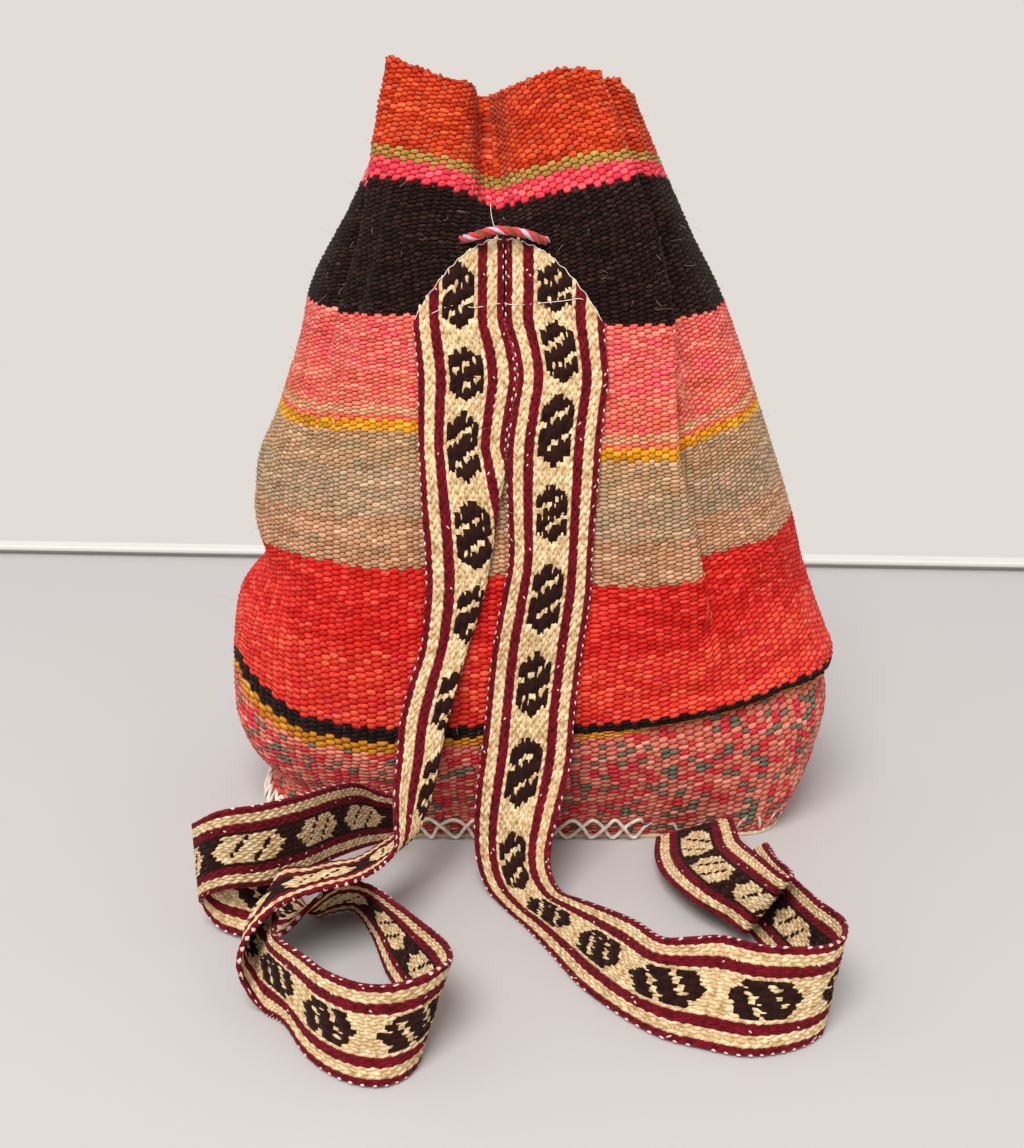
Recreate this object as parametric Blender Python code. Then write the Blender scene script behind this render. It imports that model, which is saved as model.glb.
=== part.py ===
"""Hand-woven drawstring backpack, standing on its base with its straps towards -Y.

The bag is one striped wool cloth sewn into a tube and gathered at the neck. A base
panel closes it below, two patterned bands are its straps, and one twisted cord runs
round the inside of the neck and is tied on the far side. Sizes are in millimetres,
and the model is built in metres with +Z up. The origin is the middle of the underside
of the base panel.
"""

import math

import bmesh
import bpy
from mathutils import Vector
from mathutils.bvhtree import BVHTree

MM = 0.001
TOUCH_GAP = 0.3

# Cloth of the bag
CLOTH_THICKNESS = 3.2
CLOTH_COLUMNS = 60
INNER_ROWS = 25
RIB_HEIGHT = 0.35

# Base panel
PANEL_THICKNESS = 2.4
PANEL_EDGE_ROUND = 0.5

# White thread that joins the cloth to the panel, in crossed stitches
THREAD_RADIUS = 0.6
STITCH_HEIGHT = 13.5
STITCH_COUNT = 24

# Straps
STRAP_THICKNESS = 2.0
STRAP_RELIEF = 0.15
FOLD_RADIUS = 1.9
FOLD_START_Z = 200.0
FOLD_GROWTH = 12.0
STRAP_ROW_STEP = 13.0
STRAP_TOP_Z = 286.0
STRAP_ARCH_DROP = 34.0
MOTIF_PITCH = 41.0
MOTIF_LENGTH = 31.0

# Drawstring
CORD_RADIUS = 2.1
HOLE_CLEARANCE = 0.5
HOLE_CUT_LENGTH = 14.0

# Stripes of the cloth, from the base seam up: name, where it ends along the cloth, rows
# of ribs, colour and roughness
STRIPES = (
    ("speckled", 66.0, 9, (0.32, 0.11, 0.09)),
    ("orange line", 71.0, 1, (0.58, 0.25, 0.03)),
    ("black line", 75.0, 1, (0.02, 0.01, 0.01)),
    ("red", 145.0, 10, (0.60, 0.04, 0.03)),
    ("stone", 205.0, 8, (0.36, 0.27, 0.18)),
    ("mustard line", 210.0, 1, (0.62, 0.32, 0.03)),
    ("salmon", 268.0, 8, (0.68, 0.17, 0.13)),
    ("dark brown", 328.0, 8, (0.04, 0.02, 0.015)),
    ("hot pink", 336.0, 1, (0.72, 0.10, 0.12)),
    ("olive line", 340.5, 1, (0.44, 0.24, 0.05)),
    ("rust orange", 376.0, 5, (0.55, 0.07, 0.02)),
)

# Shape of the cloth. Twenty lines run up it, along its sides and folds, in this order:
# left side, left rear lobe, left fold valley, left fold ridge, left front, three across
# the middle pleat, right front, right fold ridge, right fold valley, right rear lobe,
# right side, right back, then pleats and lobes across the back, and left back.
# Each level gives the distance along the cloth, its height, and each line's x, y and,
# where it isn't level, how much higher the line is.
LEVELS = (
    (0.0, 2.7, (
        (-128, -4), (-127, -34), (-116, -50), (-96, -57), (-66, -60),
        (-34, -61), (-3, -61), (28, -61), (58, -61), (92, -60),
        (117, -56), (129, -37), (129, 0), (123, 43), (94, 58),
        (46, 60), (0, 60), (-46, 60), (-96, 58), (-122, 40))),
    (36.0, 33.0, (
        (-139, -2, 7), (-135, -35, 6), (-122, -55, 5), (-101, -66, 3), (-70, -73, 1),
        (-37, -77), (-3, -77), (30, -77), (62, -76, 1), (95, -73, 3),
        (125, -64, 5), (145, -44, 7), (152, 0, 8), (141, 44, 6), (102, 65, 3),
        (54, 73, 1), (0, 75), (-53, 73, 1), (-101, 64, 3), (-131, 40, 6))),
    (75.0, 67.0, (
        (-146, 0, 14), (-139, -36, 12), (-124, -58, 10), (-104, -72, 7), (-72, -83, 3),
        (-38, -88, 1), (-4, -89), (30, -88), (62, -86, 2), (94, -80, 5),
        (122, -66, 8), (143, -43, 12), (151, 0, 13), (140, 44, 12), (106, 70, 6),
        (58, 83, 2), (0, 86), (-58, 83, 2), (-104, 68, 7), (-136, 40, 12))),
    (143.0, 132.0, (
        (-134, 1, 18), (-127, -34, 15), (-113, -54, 12), (-99, -67, 10), (-67, -79, 5),
        (-35, -83, 3), (-5, -84, 1), (25, -83), (56, -82, 1), (84, -76, 4),
        (103, -61, 7), (122, -39, 11), (133, 0, 14), (121, 41, 12), (88, 66, 6),
        (48, 79, 2), (-3, 80), (-54, 80, 2), (-94, 66, 8), (-124, 39, 14))),
    (211.0, 198.0, (
        (-115, 2, 14), (-109, -30, 12), (-97, -47, 10), (-92, -57, 9), (-60, -69, 7),
        (-30, -72, 5), (-6, -72, 3), (18, -72, 1), (48, -72), (75, -66, 2),
        (82, -51, 3), (103, -34, 7), (111, 0, 10), (97, 38, 9), (66, 60, 5),
        (34, 70, 2), (-6, 66), (-46, 71, 2), (-80, 60, 6), (-106, 38, 11))),
    (268.0, 251.0, (
        (-98, 4, 4), (-93, -24, 3), (-80, -34, 1), (-85, -48, 1), (-50, -59),
        (-26, -59), (-8, -58), (12, -59), (40, -61), (69, -54, 1),
        (62, -38, 1), (84, -26, 3), (93, 2, 4), (78, 36, 2), (50, 44),
        (28, 60), (-6, 46), (-40, 62), (-64, 46), (-90, 36, 2))),
    (305.0, 286.0, (
        (-84, 6, 2), (-80, -15, 1), (-66, -20, -1), (-75, -40, 2), (-46, -51, 1),
        (-26, -51, -2), (-12, -49, -5), (2, -51, -3), (30, -53, 1), (61, -44, 2),
        (46, -25, -1), (67, -20, 1), (76, 6, 2), (64, 30, 1), (40, 24, -2),
        (28, 48, 1), (-4, 26, -3), (-34, 50, 1), (-52, 26, -2), (-76, 34, 1))),
    (376.0, 356.0, (
        (-54, 10, -2), (-51, -4, -1), (-45, -9, -5), (-61, -22, 5), (-40, -31, -2),
        (-24, -27, -6), (-16, -2, -12), (-8, -27, -8), (14, -33), (33, -25, -2),
        (23, -9, -6), (41, -14, -4), (50, 2, -12), (46, 18, -14), (31, 12, -18),
        (22, 32, -16), (-2, 13, -20), (-22, 34, -16), (-36, 14, -14), (-50, 26, -8))),
)

# Creases across the left side: distance along the cloth, depth, half height, line in the
# middle of the crease and how many lines it spreads over
CREASES = (
    (20.0, 8.0, 10.0, 1.0, 3.2),
    (50.0, -3.0, 13.0, 1.5, 3.5),
    (126.0, 12.0, 14.0, 0.0, 1.8),
    (176.0, -3.0, 15.0, 0.3, 2.0),
    (124.0, 2.5, 12.0, 10.5, 1.4),
)

# Stripes across a strap: where each ends, as a share of the width, and its colour
MAROON = (0.10, 0.008, 0.013)
CREAM = (0.66, 0.52, 0.32)
MOTIF = (0.025, 0.010, 0.012)
STRAP_STRIPES = (
    (0.07, "maroon"), (0.18, "cream"), (0.28, "maroon"), (0.39, "field"),
    (0.50, "field"), (0.61, "field"), (0.72, "field"), (0.82, "maroon"),
    (0.93, "cream"), (1.0, "maroon"),
)

# Rows where a strap lies on the cloth: height and the x of its two edges. Lower down
# the left strap is folded lengthwise, and a third x gives its outer edge behind the fold.
LEFT_ROWS = ((252, -49, -9.6), (240, -48, -6.0), (228, -47, -4.4), (215, -47, -6.6),
             (200, -47, -8.8), (194, -46.6, -9.4, -9.6), (188, -46.3, -10, -10.4),
             (182, -46, -11, -14), (177, -45.8, -12, -17.5), (171, -45.5, -13, -21),
             (157, -44.5, -15, -26), (141, -44, -18, -33), (126, -45, -22, -39),
             (110, -47, -27, -44))
RIGHT_ROWS = ((252, -8.8, 34), (240, -5.2, 35), (228, -3.6, 36), (215, -5.8, 34.5),
              (200, -8.0, 33), (184, -8.4, 32), (171, -8.0, 31), (150, -7.5, 29.5),
              (134, -10.5, 29), (112, -14.5, 26), (95, -16.5, 24))

# Free runs of the straps: edge, any point in between where the band is creased, edge
LEFT_RUN = (
    ((-52, -98, 96), (-31, -96, 96), (-50, -91.5, 96)),
    ((-56, -103, 81), (-36, -100, 79), (-55, -93.5, 79)),
    ((-57, -111, 68), (-39, -104, 64), (-57, -95, 62)),
    ((-58, -121, 57), (-42, -109, 51), (-56, -96, 46)),
    ((-57, -134, 48), (-45, -114, 42), (-53, -98, 37)),
    ((-56, -147, 42), (-50, -126, 37), (-55, -109, 33)),
    ((-61, -161, 41), (-61, -140, 36), (-62, -120, 31)),
    ((-70, -174, 42), (-73, -134, 30)),
    ((-81, -180, 42), (-84, -140, 31)),
    ((-92, -187, 42), (-93, -146, 32)),
    ((-101, -196, 41), (-103, -153, 35)),
    ((-109, -206, 36), (-110, -178, 31), (-104, -164, 32)),
    ((-113, -208, 24), (-112, -183, 22), (-101, -180, 31)),
    ((-110, -206, 10), (-109, -187, 16), (-100, -195, 33)),
    ((-104, -206, 1), (-104, -199, 19), (-97, -208, 37)),
    ((-95, -213, 1), (-85, -226, 41)),
    ((-83, -234, 1), (-75, -237, 41)),
    ((-69, -247, 1), (-62, -245, 41)),
    ((-56, -251, 1), (-50, -246, 41)),
    ((-47, -247, 1), (-39, -241, 41)),
    ((-42, -238, 1), (-32, -232, 40)),
    ((-42, -226, 1), (-29, -223, 38)),
    ((-48, -202, 1), (-32, -208, 35)),
    ((-58, -177, 1), (-42, -191, 33)),
    ((-66, -150, 1), (-53, -174, 31)),
    ((-76, -129, 1), (-67, -157, 30)),
    ((-86, -130, 1), (-79, -154, 29)),
    ((-94, -133, 1), (-90, -164, 25)),
    ((-102, -125, 7), (-101, -164, 12)),
    ((-111, -124, 22), (-112, -157, 3)),
    ((-122, -137, 40), (-122, -152, 2)),
    ((-133, -137, 43), (-133, -146, 3)),
    ((-141, -143, 51), (-141, -140, 10)),
    ((-137, -155, 59), (-139, -148, 18)),
    ((-131, -161, 65), (-134, -154, 24)),
    ((-123, -162, 68), (-125, -156, 28)),
    ((-111, -156, 67), (-112, -150, 26)),
    ((-97, -142, 64), (-98, -135, 23)),
    ((-86, -121, 58), (-87, -113, 18)),
    ((-77, -101, 50), (-77, -91, 11)),
    ((-69, -89, 40), (-68, -74, 5)),
    ((-60, -88, 37), (-58, -67, 4)),
)
RIGHT_RUN = (
    ((-18, -95.5, 80), (22, -95.5, 80)),
    ((-20, -100, 63), (21, -99, 63)),
    ((-22, -104, 48), (18, -106, 50)),
    ((-23, -103, 30), (14, -118, 40)),
    ((-22, -106, 14), (11, -124, 29)),
    ((-17, -114, 3), (11, -137, 25)),
    ((-8, -129, 1), (15, -153, 25)),
    ((1, -144, 1), (22, -166, 29)),
    ((11, -164, 1), (32, -180, 33)),
    ((22, -187, 1), (43, -196, 37)),
    ((37, -207, 1), (52, -213, 40)),
    ((51, -221, 1), (63, -216, 42)),
    ((66, -228, 1), (75, -215, 42)),
    ((82, -233, 1), (88, -221, 42)),
    ((96, -231, 1), (103, -223, 42)),
    ((108, -225, 1), (115, -221, 42)),
    ((115, -216, 1), (122, -212, 41)),
    ((115, -200, 1), (124, -199, 40)),
    ((105, -170, 1), (118, -180, 37)),
    ((93, -134, 1), (113, -150, 31)),
    ((87, -114, 1), (110, -129, 28)),
    ((85, -107, 3), (108, -122, 30)),
    ((85, -113, 6), (106, -128, 33)),
    ((88, -132, 6), (107, -146, 37)),
    ((94, -151, 6), (110, -165, 41)),
    ((92, -160, 9), (107, -173, 43)),
    ((85, -152, 11), (103, -164, 42)),
    ((73, -138, 11), (101, -149, 38)),
    ((63, -114, 9), (98, -126, 31)),
    ((61, -92, 6), (99, -99, 20)),
    ((63, -73, 4), (99, -79, 19)),
    ((64, -67, 3.5), (98, -72, 17)),
)

# Route of the drawstring, from one loose end to the other. It hangs on the far side,
# twists once round the other end, goes in and round inside the neck, comes out on the
# strap side, crosses over the tops of the straps and goes back the same way.
HALF_KNOT_RADIUS = 2.7
HALF_KNOT_LENGTH = 15.0
KNOT_CENTRE = (-4.0, 54.5, 283.0)
CORD_TAIL_LEFT = ((-22, 66, 232), (-20, 65, 246), (-18, 63, 260), (-15, 59, 272))
CORD_LEFT = ((-20, 57, 284), (-27, 57, 285), (-30, 49.5, 285), (-34, 41, 285),
             (-37, 31, 285), (-45, 18, 285), (-53, 8, 285), (-58, -3, 285),
             (-56, -16, 286), (-46, -31, 286), (-34, -41, 286), (-28, -49.4, 286),
             (-22, -55.5, 288))
CORD_FRONT = ((-12, -56, 290.5), (0, -56, 289))
CORD_RIGHT = ((6, -54.5, 286.5), (10.5, -48.8, 285), (17, -41, 284.5), (29, -33, 284.5),
              (38, -19, 284.5), (50, -4, 284.5), (48, 8, 284.5), (37, 16, 284.5),
              (31, 26, 284.5), (29, 35, 284), (24.5, 43.5, 283.5), (20, 51, 283.5),
              (13, 55.5, 283.5))
CORD_TAIL_RIGHT = ((6, 57, 272), (9, 60, 260), (12, 63, 246), (15, 64, 234))
# Places on the route where the cord goes through the cloth
CORD_HOLES = ((-30, 49.5, 285), (-28, -49.4, 286), (10.5, -48.8, 285),
              (24.5, 43.5, 283.5))


def clear_scene():
    for item in list(bpy.data.objects):
        bpy.data.objects.remove(item, do_unlink=True)


def new_material(name, colour, roughness=0.9):
    material = bpy.data.materials.new(name)
    material.use_nodes = True
    shader = material.node_tree.nodes["Principled BSDF"]
    shader.inputs["Base Color"].default_value = (*colour, 1.0)
    shader.inputs["Roughness"].default_value = roughness
    shader.inputs["Metallic"].default_value = 0.0
    return material


def add_object(name, data, materials, pack):
    item = bpy.data.objects.new(name, data)
    bpy.context.scene.collection.objects.link(item)
    item.parent = pack
    for material in materials:
        data.materials.append(material)
    return item


def spline(before, start, end, after, t):
    """Point on a Catmull-Rom curve between start and end."""
    return (start + 0.5 * t * ((end - before)
            + t * (2 * before - 5 * start + 4 * end - after
                   + t * (3 * (start - end) + after - before))))


def on_closed_curve(points, place):
    count = len(points)
    index = math.floor(place)
    near = [points[(index + step) % count] for step in (-1, 0, 1, 2)]
    return spline(*near, place - index)


def between_levels(distances, points, place):
    """Smooth path through points that lie at uneven distances."""
    last = len(points) - 1
    index = max(i for i in range(last) if distances[i] <= place or i == 0)

    def slope(i):
        low = max(i - 1, 0)
        high = min(i + 1, last)
        return (points[high] - points[low]) / (distances[high] - distances[low])

    span = distances[index + 1] - distances[index]
    t = (place - distances[index]) / span
    rise = t * t * (3 - 2 * t)
    return (points[index] * (1 - rise) + points[index + 1] * rise
            + slope(index) * span * t * (1 - t) ** 2
            - slope(index + 1) * span * t * t * (1 - t))


def cloth_line(line):
    """Points of one line of the cloth, where it crosses each level."""
    points = []
    for distance, height, outline in LEVELS:
        corners = [Vector((*corner, 0)[:3]) for corner in outline]
        points.append(on_closed_curve(corners, line) + Vector((0, 0, height)))
    return points


def crease_depth(line, distance):
    depth = 0.0
    for middle, deep, half_height, centre_line, spread in CREASES:
        away = (line - centre_line + 10.0) % 20.0 - 10.0
        depth += (deep * math.exp(-((distance - middle) / half_height) ** 2)
                  * math.exp(-(away / spread) ** 2))
    return depth


def cloth_grid(row_places, columns):
    """Points of the outer face of the cloth, row by row, and their outward directions."""
    distances = [level[0] for level in LEVELS]
    lines = [cloth_line(20.0 * column / columns) for column in range(columns)]
    rows = []
    for place in row_places:
        row = [between_levels(distances, line, place) for line in lines]
        outward = []
        for column in range(columns):
            along = row[(column + 1) % columns] - row[column - 1]
            outward.append(Vector((along.y, -along.x, 0)).normalized())
        for column in range(columns):
            depth = crease_depth(20.0 * column / columns, place)
            row[column] = row[column] - outward[column] * depth
        rows.append((row, outward))
    return rows


def stripe_rows():
    """Distances of the ribs' crests and hollows, and the stripe that each row is in."""
    places = [0.0]
    stripes = []
    for number, (name, end, rows, colour) in enumerate(STRIPES):
        start = places[-1]
        for row in range(rows):
            places.append(start + (end - start) * (row + 1) / rows)
            stripes.append(number)
    return places, stripes


def add_rings(bm, rings):
    return [[bm.verts.new(point * MM) for point in ring] for ring in rings]


def join_rings(bm, rings, stripes):
    """Faces between closed rings, facing out where the rings run anticlockwise upwards."""
    count = len(rings[0])
    for number in range(len(rings) - 1):
        low = rings[number]
        high = rings[number + 1]
        for column in range(count):
            after = (column + 1) % count
            face = bm.faces.new((low[column], low[after], high[after], high[column]))
            face.material_index = stripes[number]
            face.smooth = True


def make_body_cloth(pack):
    """The tube of cloth: ribbed outside, open at the rim and at the base seam."""
    places, stripes = stripe_rows()
    outer = []
    for number, (row, outward) in enumerate(cloth_grid(places, CLOTH_COLUMNS)):
        ends = number in (0, len(places) - 1)
        rib = 0.0 if ends else RIB_HEIGHT * (0.5 if number % 2 else -0.5)
        outer.append([point + way * rib for point, way in zip(row, outward)])

    inner_places = [places[-1] * row / (INNER_ROWS - 1) for row in range(INNER_ROWS)]
    inner = []
    for row, outward in cloth_grid(inner_places, CLOTH_COLUMNS):
        inner.append([point - way * CLOTH_THICKNESS for point, way in zip(row, outward)])

    bm = bmesh.new()
    outer_rings = add_rings(bm, outer)
    inner_rings = add_rings(bm, inner)
    join_rings(bm, outer_rings, stripes)
    inner_stripes = []
    for place in inner_places[1:]:
        inner_stripes.append(min(i for i, stripe in enumerate(STRIPES)
                                 if place <= stripe[1] + 0.01))
    join_rings(bm, [inner_rings[-1 - i] for i in range(INNER_ROWS)], inner_stripes[::-1])
    join_rings(bm, [outer_rings[-1], inner_rings[-1]], [len(STRIPES) - 1])
    join_rings(bm, [inner_rings[0], outer_rings[0]], [0])

    # Triangles, so that the straps are laid on exactly the surface that is built
    bmesh.ops.triangulate(bm, faces=bm.faces)
    mesh = bpy.data.meshes.new("body_cloth")
    bm.to_mesh(mesh)
    bm.free()
    materials = [new_material("wool " + name, colour) for name, _, _, colour in STRIPES]
    return add_object("body_cloth", mesh, materials, pack)


def cut_cord_holes(cloth, pack):
    """Round holes through the neck, each along the cord's own direction there."""
    route = [Vector(point) for point in CORD_LEFT + CORD_FRONT + CORD_RIGHT]
    for number, place in enumerate(CORD_HOLES):
        centre = Vector(place)
        step = route.index(centre)
        way = route[step + 1] - route[step - 1]
        radius = (CORD_RADIUS + HOLE_CLEARANCE) * MM
        bm = bmesh.new()
        bmesh.ops.create_cone(bm, cap_ends=True, segments=10, radius1=radius,
                              radius2=radius, depth=HOLE_CUT_LENGTH * MM)
        mesh = bpy.data.meshes.new("cord_hole_cutter")
        bm.to_mesh(mesh)
        bm.free()
        cutter = bpy.data.objects.new(f"cord_hole_cutter_{number + 1}", mesh)
        bpy.context.scene.collection.objects.link(cutter)
        cutter.parent = pack
        cutter.location = centre * MM
        cutter.rotation_euler = way.to_track_quat("Z", "Y").to_euler()
        cutter.hide_render = True
        cutter.display_type = "WIRE"
        cut = cloth.modifiers.new(f"cord hole {number + 1}", "BOOLEAN")
        cut.operation = "DIFFERENCE"
        cut.object = cutter


def make_base_panel(pack):
    """Flat panel under the cloth's lower edge, with slightly rounded edges."""
    outline = [Vector(corner) for corner in LEVELS[0][2]]
    bm = bmesh.new()
    corners = []
    for step in range(40):
        flat = on_closed_curve(outline, step / 2)
        corners.append(bm.verts.new(Vector((flat.x, flat.y, 0)) * MM))
    face = bm.faces.new(corners)
    raised = bmesh.ops.extrude_face_region(bm, geom=[face])
    top = [item for item in raised["geom"] if isinstance(item, bmesh.types.BMVert)]
    bmesh.ops.translate(bm, verts=top, vec=(0, 0, PANEL_THICKNESS * MM))
    bmesh.ops.recalc_face_normals(bm, faces=bm.faces)
    rims = [edge for edge in bm.edges if edge.calc_face_angle(0) > 1.2]
    bmesh.ops.bevel(bm, geom=rims, offset=PANEL_EDGE_ROUND * MM, segments=1,
                    profile=0.5, affect="EDGES")
    mesh = bpy.data.meshes.new("base_panel")
    bm.to_mesh(mesh)
    bm.free()
    return add_object("base_panel", mesh, [new_material("cream cotton panel", CREAM)], pack)


def curve_tube(name, points, radius, sides, cyclic, material, pack):
    curve = bpy.data.curves.new(name, "CURVE")
    curve.dimensions = "3D"
    curve.bevel_depth = radius * MM
    curve.bevel_resolution = sides
    curve.use_fill_caps = True
    path = curve.splines.new("POLY")
    path.points.add(len(points) - 1)
    for knot, point in zip(path.points, points):
        knot.co = (*(point * MM), 1.0)
    path.use_cyclic_u = cyclic
    return add_object(name, curve, [material], pack)


def make_base_stitching(pack):
    """One thread taken twice round the seam, so that its two zigzags cross."""
    legs = STITCH_COUNT * 2
    low_place = 0.2
    mid_place = 0.5 * (low_place + STITCH_HEIGHT)
    rows = cloth_grid([low_place, mid_place, STITCH_HEIGHT], legs * 2)
    points = []
    for turn in range(2):
        stand_off = TOUCH_GAP + RIB_HEIGHT + THREAD_RADIUS * (1.3 + 2.6 * turn)
        for step in range(legs * 2):
            if step % 2:
                level = 1
            else:
                level = 0 if (step // 2 + turn) % 2 else 2
            row, outward = rows[level]
            point = row[step] + outward[step] * stand_off
            if level == 0:
                point.z = 0.5 * PANEL_THICKNESS
            points.append(point)
    material = new_material("white wool thread", (0.75, 0.70, 0.62))
    return curve_tube("base_stitching", points, THREAD_RADIUS, 0, True, material, pack)


def arch_height(share):
    """Height of a strap's cut top, from its inner edge (0) to its outer edge (1)."""
    return STRAP_TOP_Z - STRAP_ARCH_DROP * (1 - math.sqrt(max(0.0, 1 - share * share)))


def lay_on_cloth(point, fold_radii, cloth_tree):
    """Move a point of a strap's middle surface to where it rests in front of the cloth."""
    hit = cloth_tree.ray_cast(Vector((point.x, -200.0, point.z)) * MM, Vector((0, 1, 0)))[0]
    lift = TOUCH_GAP + RIB_HEIGHT + STRAP_RELIEF + 0.5 * STRAP_THICKNESS
    point.y = hit.y / MM - lift - fold_radii * FOLD_RADIUS


def mid_surface_rows(rows, run, inner_edge_first, cloth_tree, shares):
    """Rows of points along a strap's middle surface, from its arched top to its sewn end."""
    stations = []
    first_z, edge_a, edge_b = rows[0]
    for part in (0.0, 0.15, 0.4, 0.7, 1.0):
        row = []
        for share in shares:
            from_inner = share if inner_edge_first else 1 - share
            top = arch_height(from_inner)
            x = edge_a + (edge_b - edge_a) * share
            row.append(Vector((x, 0, top + (first_z - 3 - top) * part)))
        stations.append(row)
    for height, edge_a, edge_b in [row[:3] for row in rows[1:] if len(row) == 3]:
        stations.append([Vector((edge_a + (edge_b - edge_a) * share, 0, height))
                         for share in shares])
    for row in stations:
        for point in row:
            lay_on_cloth(point, 0, cloth_tree)
    for height, edge_a, fold, edge_b in [row for row in rows if len(row) == 4]:
        corners = [Vector((x, 0, height)) for x in (edge_a, fold, edge_b)]
        grown = min(1.0, (FOLD_START_Z - height) / FOLD_GROWTH)
        for corner, radii in zip(corners, (2, 1, 0)):
            lay_on_cloth(corner, radii * grown, cloth_tree)
        stations.append([point_across(corners, share) for share in shares])
    for station in run:
        stations.append([point_across(station, share) for share in shares])
    return stations


def point_across(station, share):
    """Point at a share of the strap's width. A fold in it turns on the fold radius."""
    points = [Vector(point) for point in station]
    if len(points) == 3:
        edge_a, fold, edge_b = points
        inward = 0.5 * (edge_a + edge_b) - fold
        apart = (edge_a - edge_b) - (edge_a - edge_b).project(inward)
        apart = apart * min(0.5, FOLD_RADIUS / apart.length)
        points = [edge_a, fold + apart, fold - apart, edge_b]
    steps = [(end - start).length for start, end in zip(points, points[1:])]
    place = share * sum(steps)
    for start, end, step in zip(points, points[1:], steps):
        if place <= step:
            return start.lerp(end, place / step)
        place -= step
    return points[-1]


def even_rows(stations):
    """Strap rows at short even steps, on smooth curves through the stations."""
    rows = []
    middle = len(stations[0]) // 2
    last = len(stations) - 1
    for index in range(last):
        near = [stations[min(max(index + step, 0), last)] for step in (-1, 0, 1, 2)]
        length = (near[2][middle] - near[1][middle]).length
        parts = max(1, round(length / STRAP_ROW_STEP))
        for part in range(parts):
            t = part / parts
            rows.append([spline(*[row[i] for row in near], t)
                         for i in range(len(near[0]))])
    rows.append(stations[-1])
    return rows


def make_strap(name, rows, run, inner_edge_first, cloth_tree, materials, pack):
    """A woven band as one closed solid, with a shallow rib on every stripe."""
    shares = [0.0] + [end for end, _ in STRAP_STRIPES]
    grid = even_rows(mid_surface_rows(rows, run, inner_edge_first, cloth_tree, shares))
    count = len(shares)
    bm = bmesh.new()
    rings = []
    travelled = 0.0
    lengths = []
    for number, row in enumerate(grid):
        before = grid[max(number - 1, 0)]
        after = grid[min(number + 1, len(grid) - 1)]
        front = []
        back = []
        for i in range(count):
            along = after[i] - before[i]
            across = row[min(i + 1, count - 1)] - row[max(i - 1, 0)]
            way = along.cross(across).normalized()
            relief = STRAP_RELIEF * (1 if i % 2 else -1)
            front.append(row[i] + way * (0.5 * STRAP_THICKNESS + relief))
            back.append(row[i] - way * (0.5 * STRAP_THICKNESS + relief))
        rings.append([bm.verts.new(point * MM) for point in front + back[::-1]])
        if number:
            travelled += (row[count // 2] - before[count // 2]).length
        lengths.append(travelled)

    around = 2 * count
    for number in range(len(grid) - 1):
        place = 0.5 * (lengths[number] + lengths[number + 1]) % MOTIF_PITCH
        in_motif = place < MOTIF_LENGTH
        for i in range(around):
            after = (i + 1) % around
            face = bm.faces.new((rings[number][i], rings[number + 1][i],
                                 rings[number + 1][after], rings[number][after]))
            stripe = min(i, around - 2 - i) if i != around - 1 else 0
            kind = STRAP_STRIPES[min(max(stripe, 0), count - 2)][1]
            front_side = i < count - 1
            face.material_index = {"maroon": 0, "cream": 1, "field": 1}[kind]
            if kind == "field" and in_motif == front_side:
                face.material_index = 2
            face.smooth = True
    for ring in (rings[0], rings[-1]):
        for i in range(count - 1):
            bm.faces.new((ring[i], ring[i + 1], ring[around - 2 - i], ring[around - 1 - i]))
    bmesh.ops.recalc_face_normals(bm, faces=bm.faces)
    mesh = bpy.data.meshes.new(name)
    bm.to_mesh(mesh)
    bm.free()
    return add_object(name, mesh, materials, pack)


def half_knot(first_angle):
    """One strand of the half knot: a full turn about the line between the two strands."""
    points = []
    for step in range(9):
        t = step / 8
        angle = first_angle + 2 * math.pi * t
        points.append(Vector((KNOT_CENTRE[0] + HALF_KNOT_LENGTH * (t - 0.5),
                              KNOT_CENTRE[1] + HALF_KNOT_RADIUS * math.cos(angle),
                              KNOT_CENTRE[2] + HALF_KNOT_RADIUS * math.sin(angle))))
    return points


def cord_points():
    """The whole cord on one route: tail, knot, neck, strap side, neck, knot, tail."""
    from_left = half_knot(math.pi / 2)
    from_right = half_knot(-math.pi / 2)[::-1]
    route = [Vector(point) for point in CORD_TAIL_RIGHT[::-1]]
    route += from_left[::-1]
    route += [Vector(point) for point in CORD_LEFT + CORD_FRONT + CORD_RIGHT]
    route += from_right
    route += [Vector(point) for point in CORD_TAIL_LEFT[::-1]]
    points = []
    last = len(route) - 1
    for index in range(last):
        near = [route[min(max(index + step, 0), last)] for step in (-1, 0, 1, 2)]
        parts = 1 if (near[2] - near[1]).length < 10.0 else 2
        points += [spline(*near, part / parts) for part in range(parts)]
    points.append(route[-1])
    return points


def make_drawstring(pack):
    material = new_material("twisted wool cord", (0.42, 0.09, 0.07))
    return curve_tube("drawstring", cord_points(), CORD_RADIUS, 2, False, material, pack)


def main():
    clear_scene()
    pack = bpy.data.objects.new("woven_backpack", None)
    bpy.context.scene.collection.objects.link(pack)
    cloth = make_body_cloth(pack)
    tree_mesh = bmesh.new()
    tree_mesh.from_mesh(cloth.data)
    cloth_tree = BVHTree.FromBMesh(tree_mesh)
    tree_mesh.free()
    cut_cord_holes(cloth, pack)
    make_base_panel(pack)
    make_base_stitching(pack)
    strap_materials = [new_material("maroon strap warp", MAROON),
                       new_material("cream strap warp", CREAM),
                       new_material("dark strap motif", MOTIF)]
    make_strap("left_strap", LEFT_ROWS, LEFT_RUN, False, cloth_tree, strap_materials, pack)
    make_strap("right_strap", RIGHT_ROWS, RIGHT_RUN, True, cloth_tree, strap_materials,
               pack)
    make_drawstring(pack)


main()
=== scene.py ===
import itertools
import math
import random

import bmesh
import bpy
import numpy as np
from mathutils import Matrix, Vector
from mathutils.bvhtree import BVHTree


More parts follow.
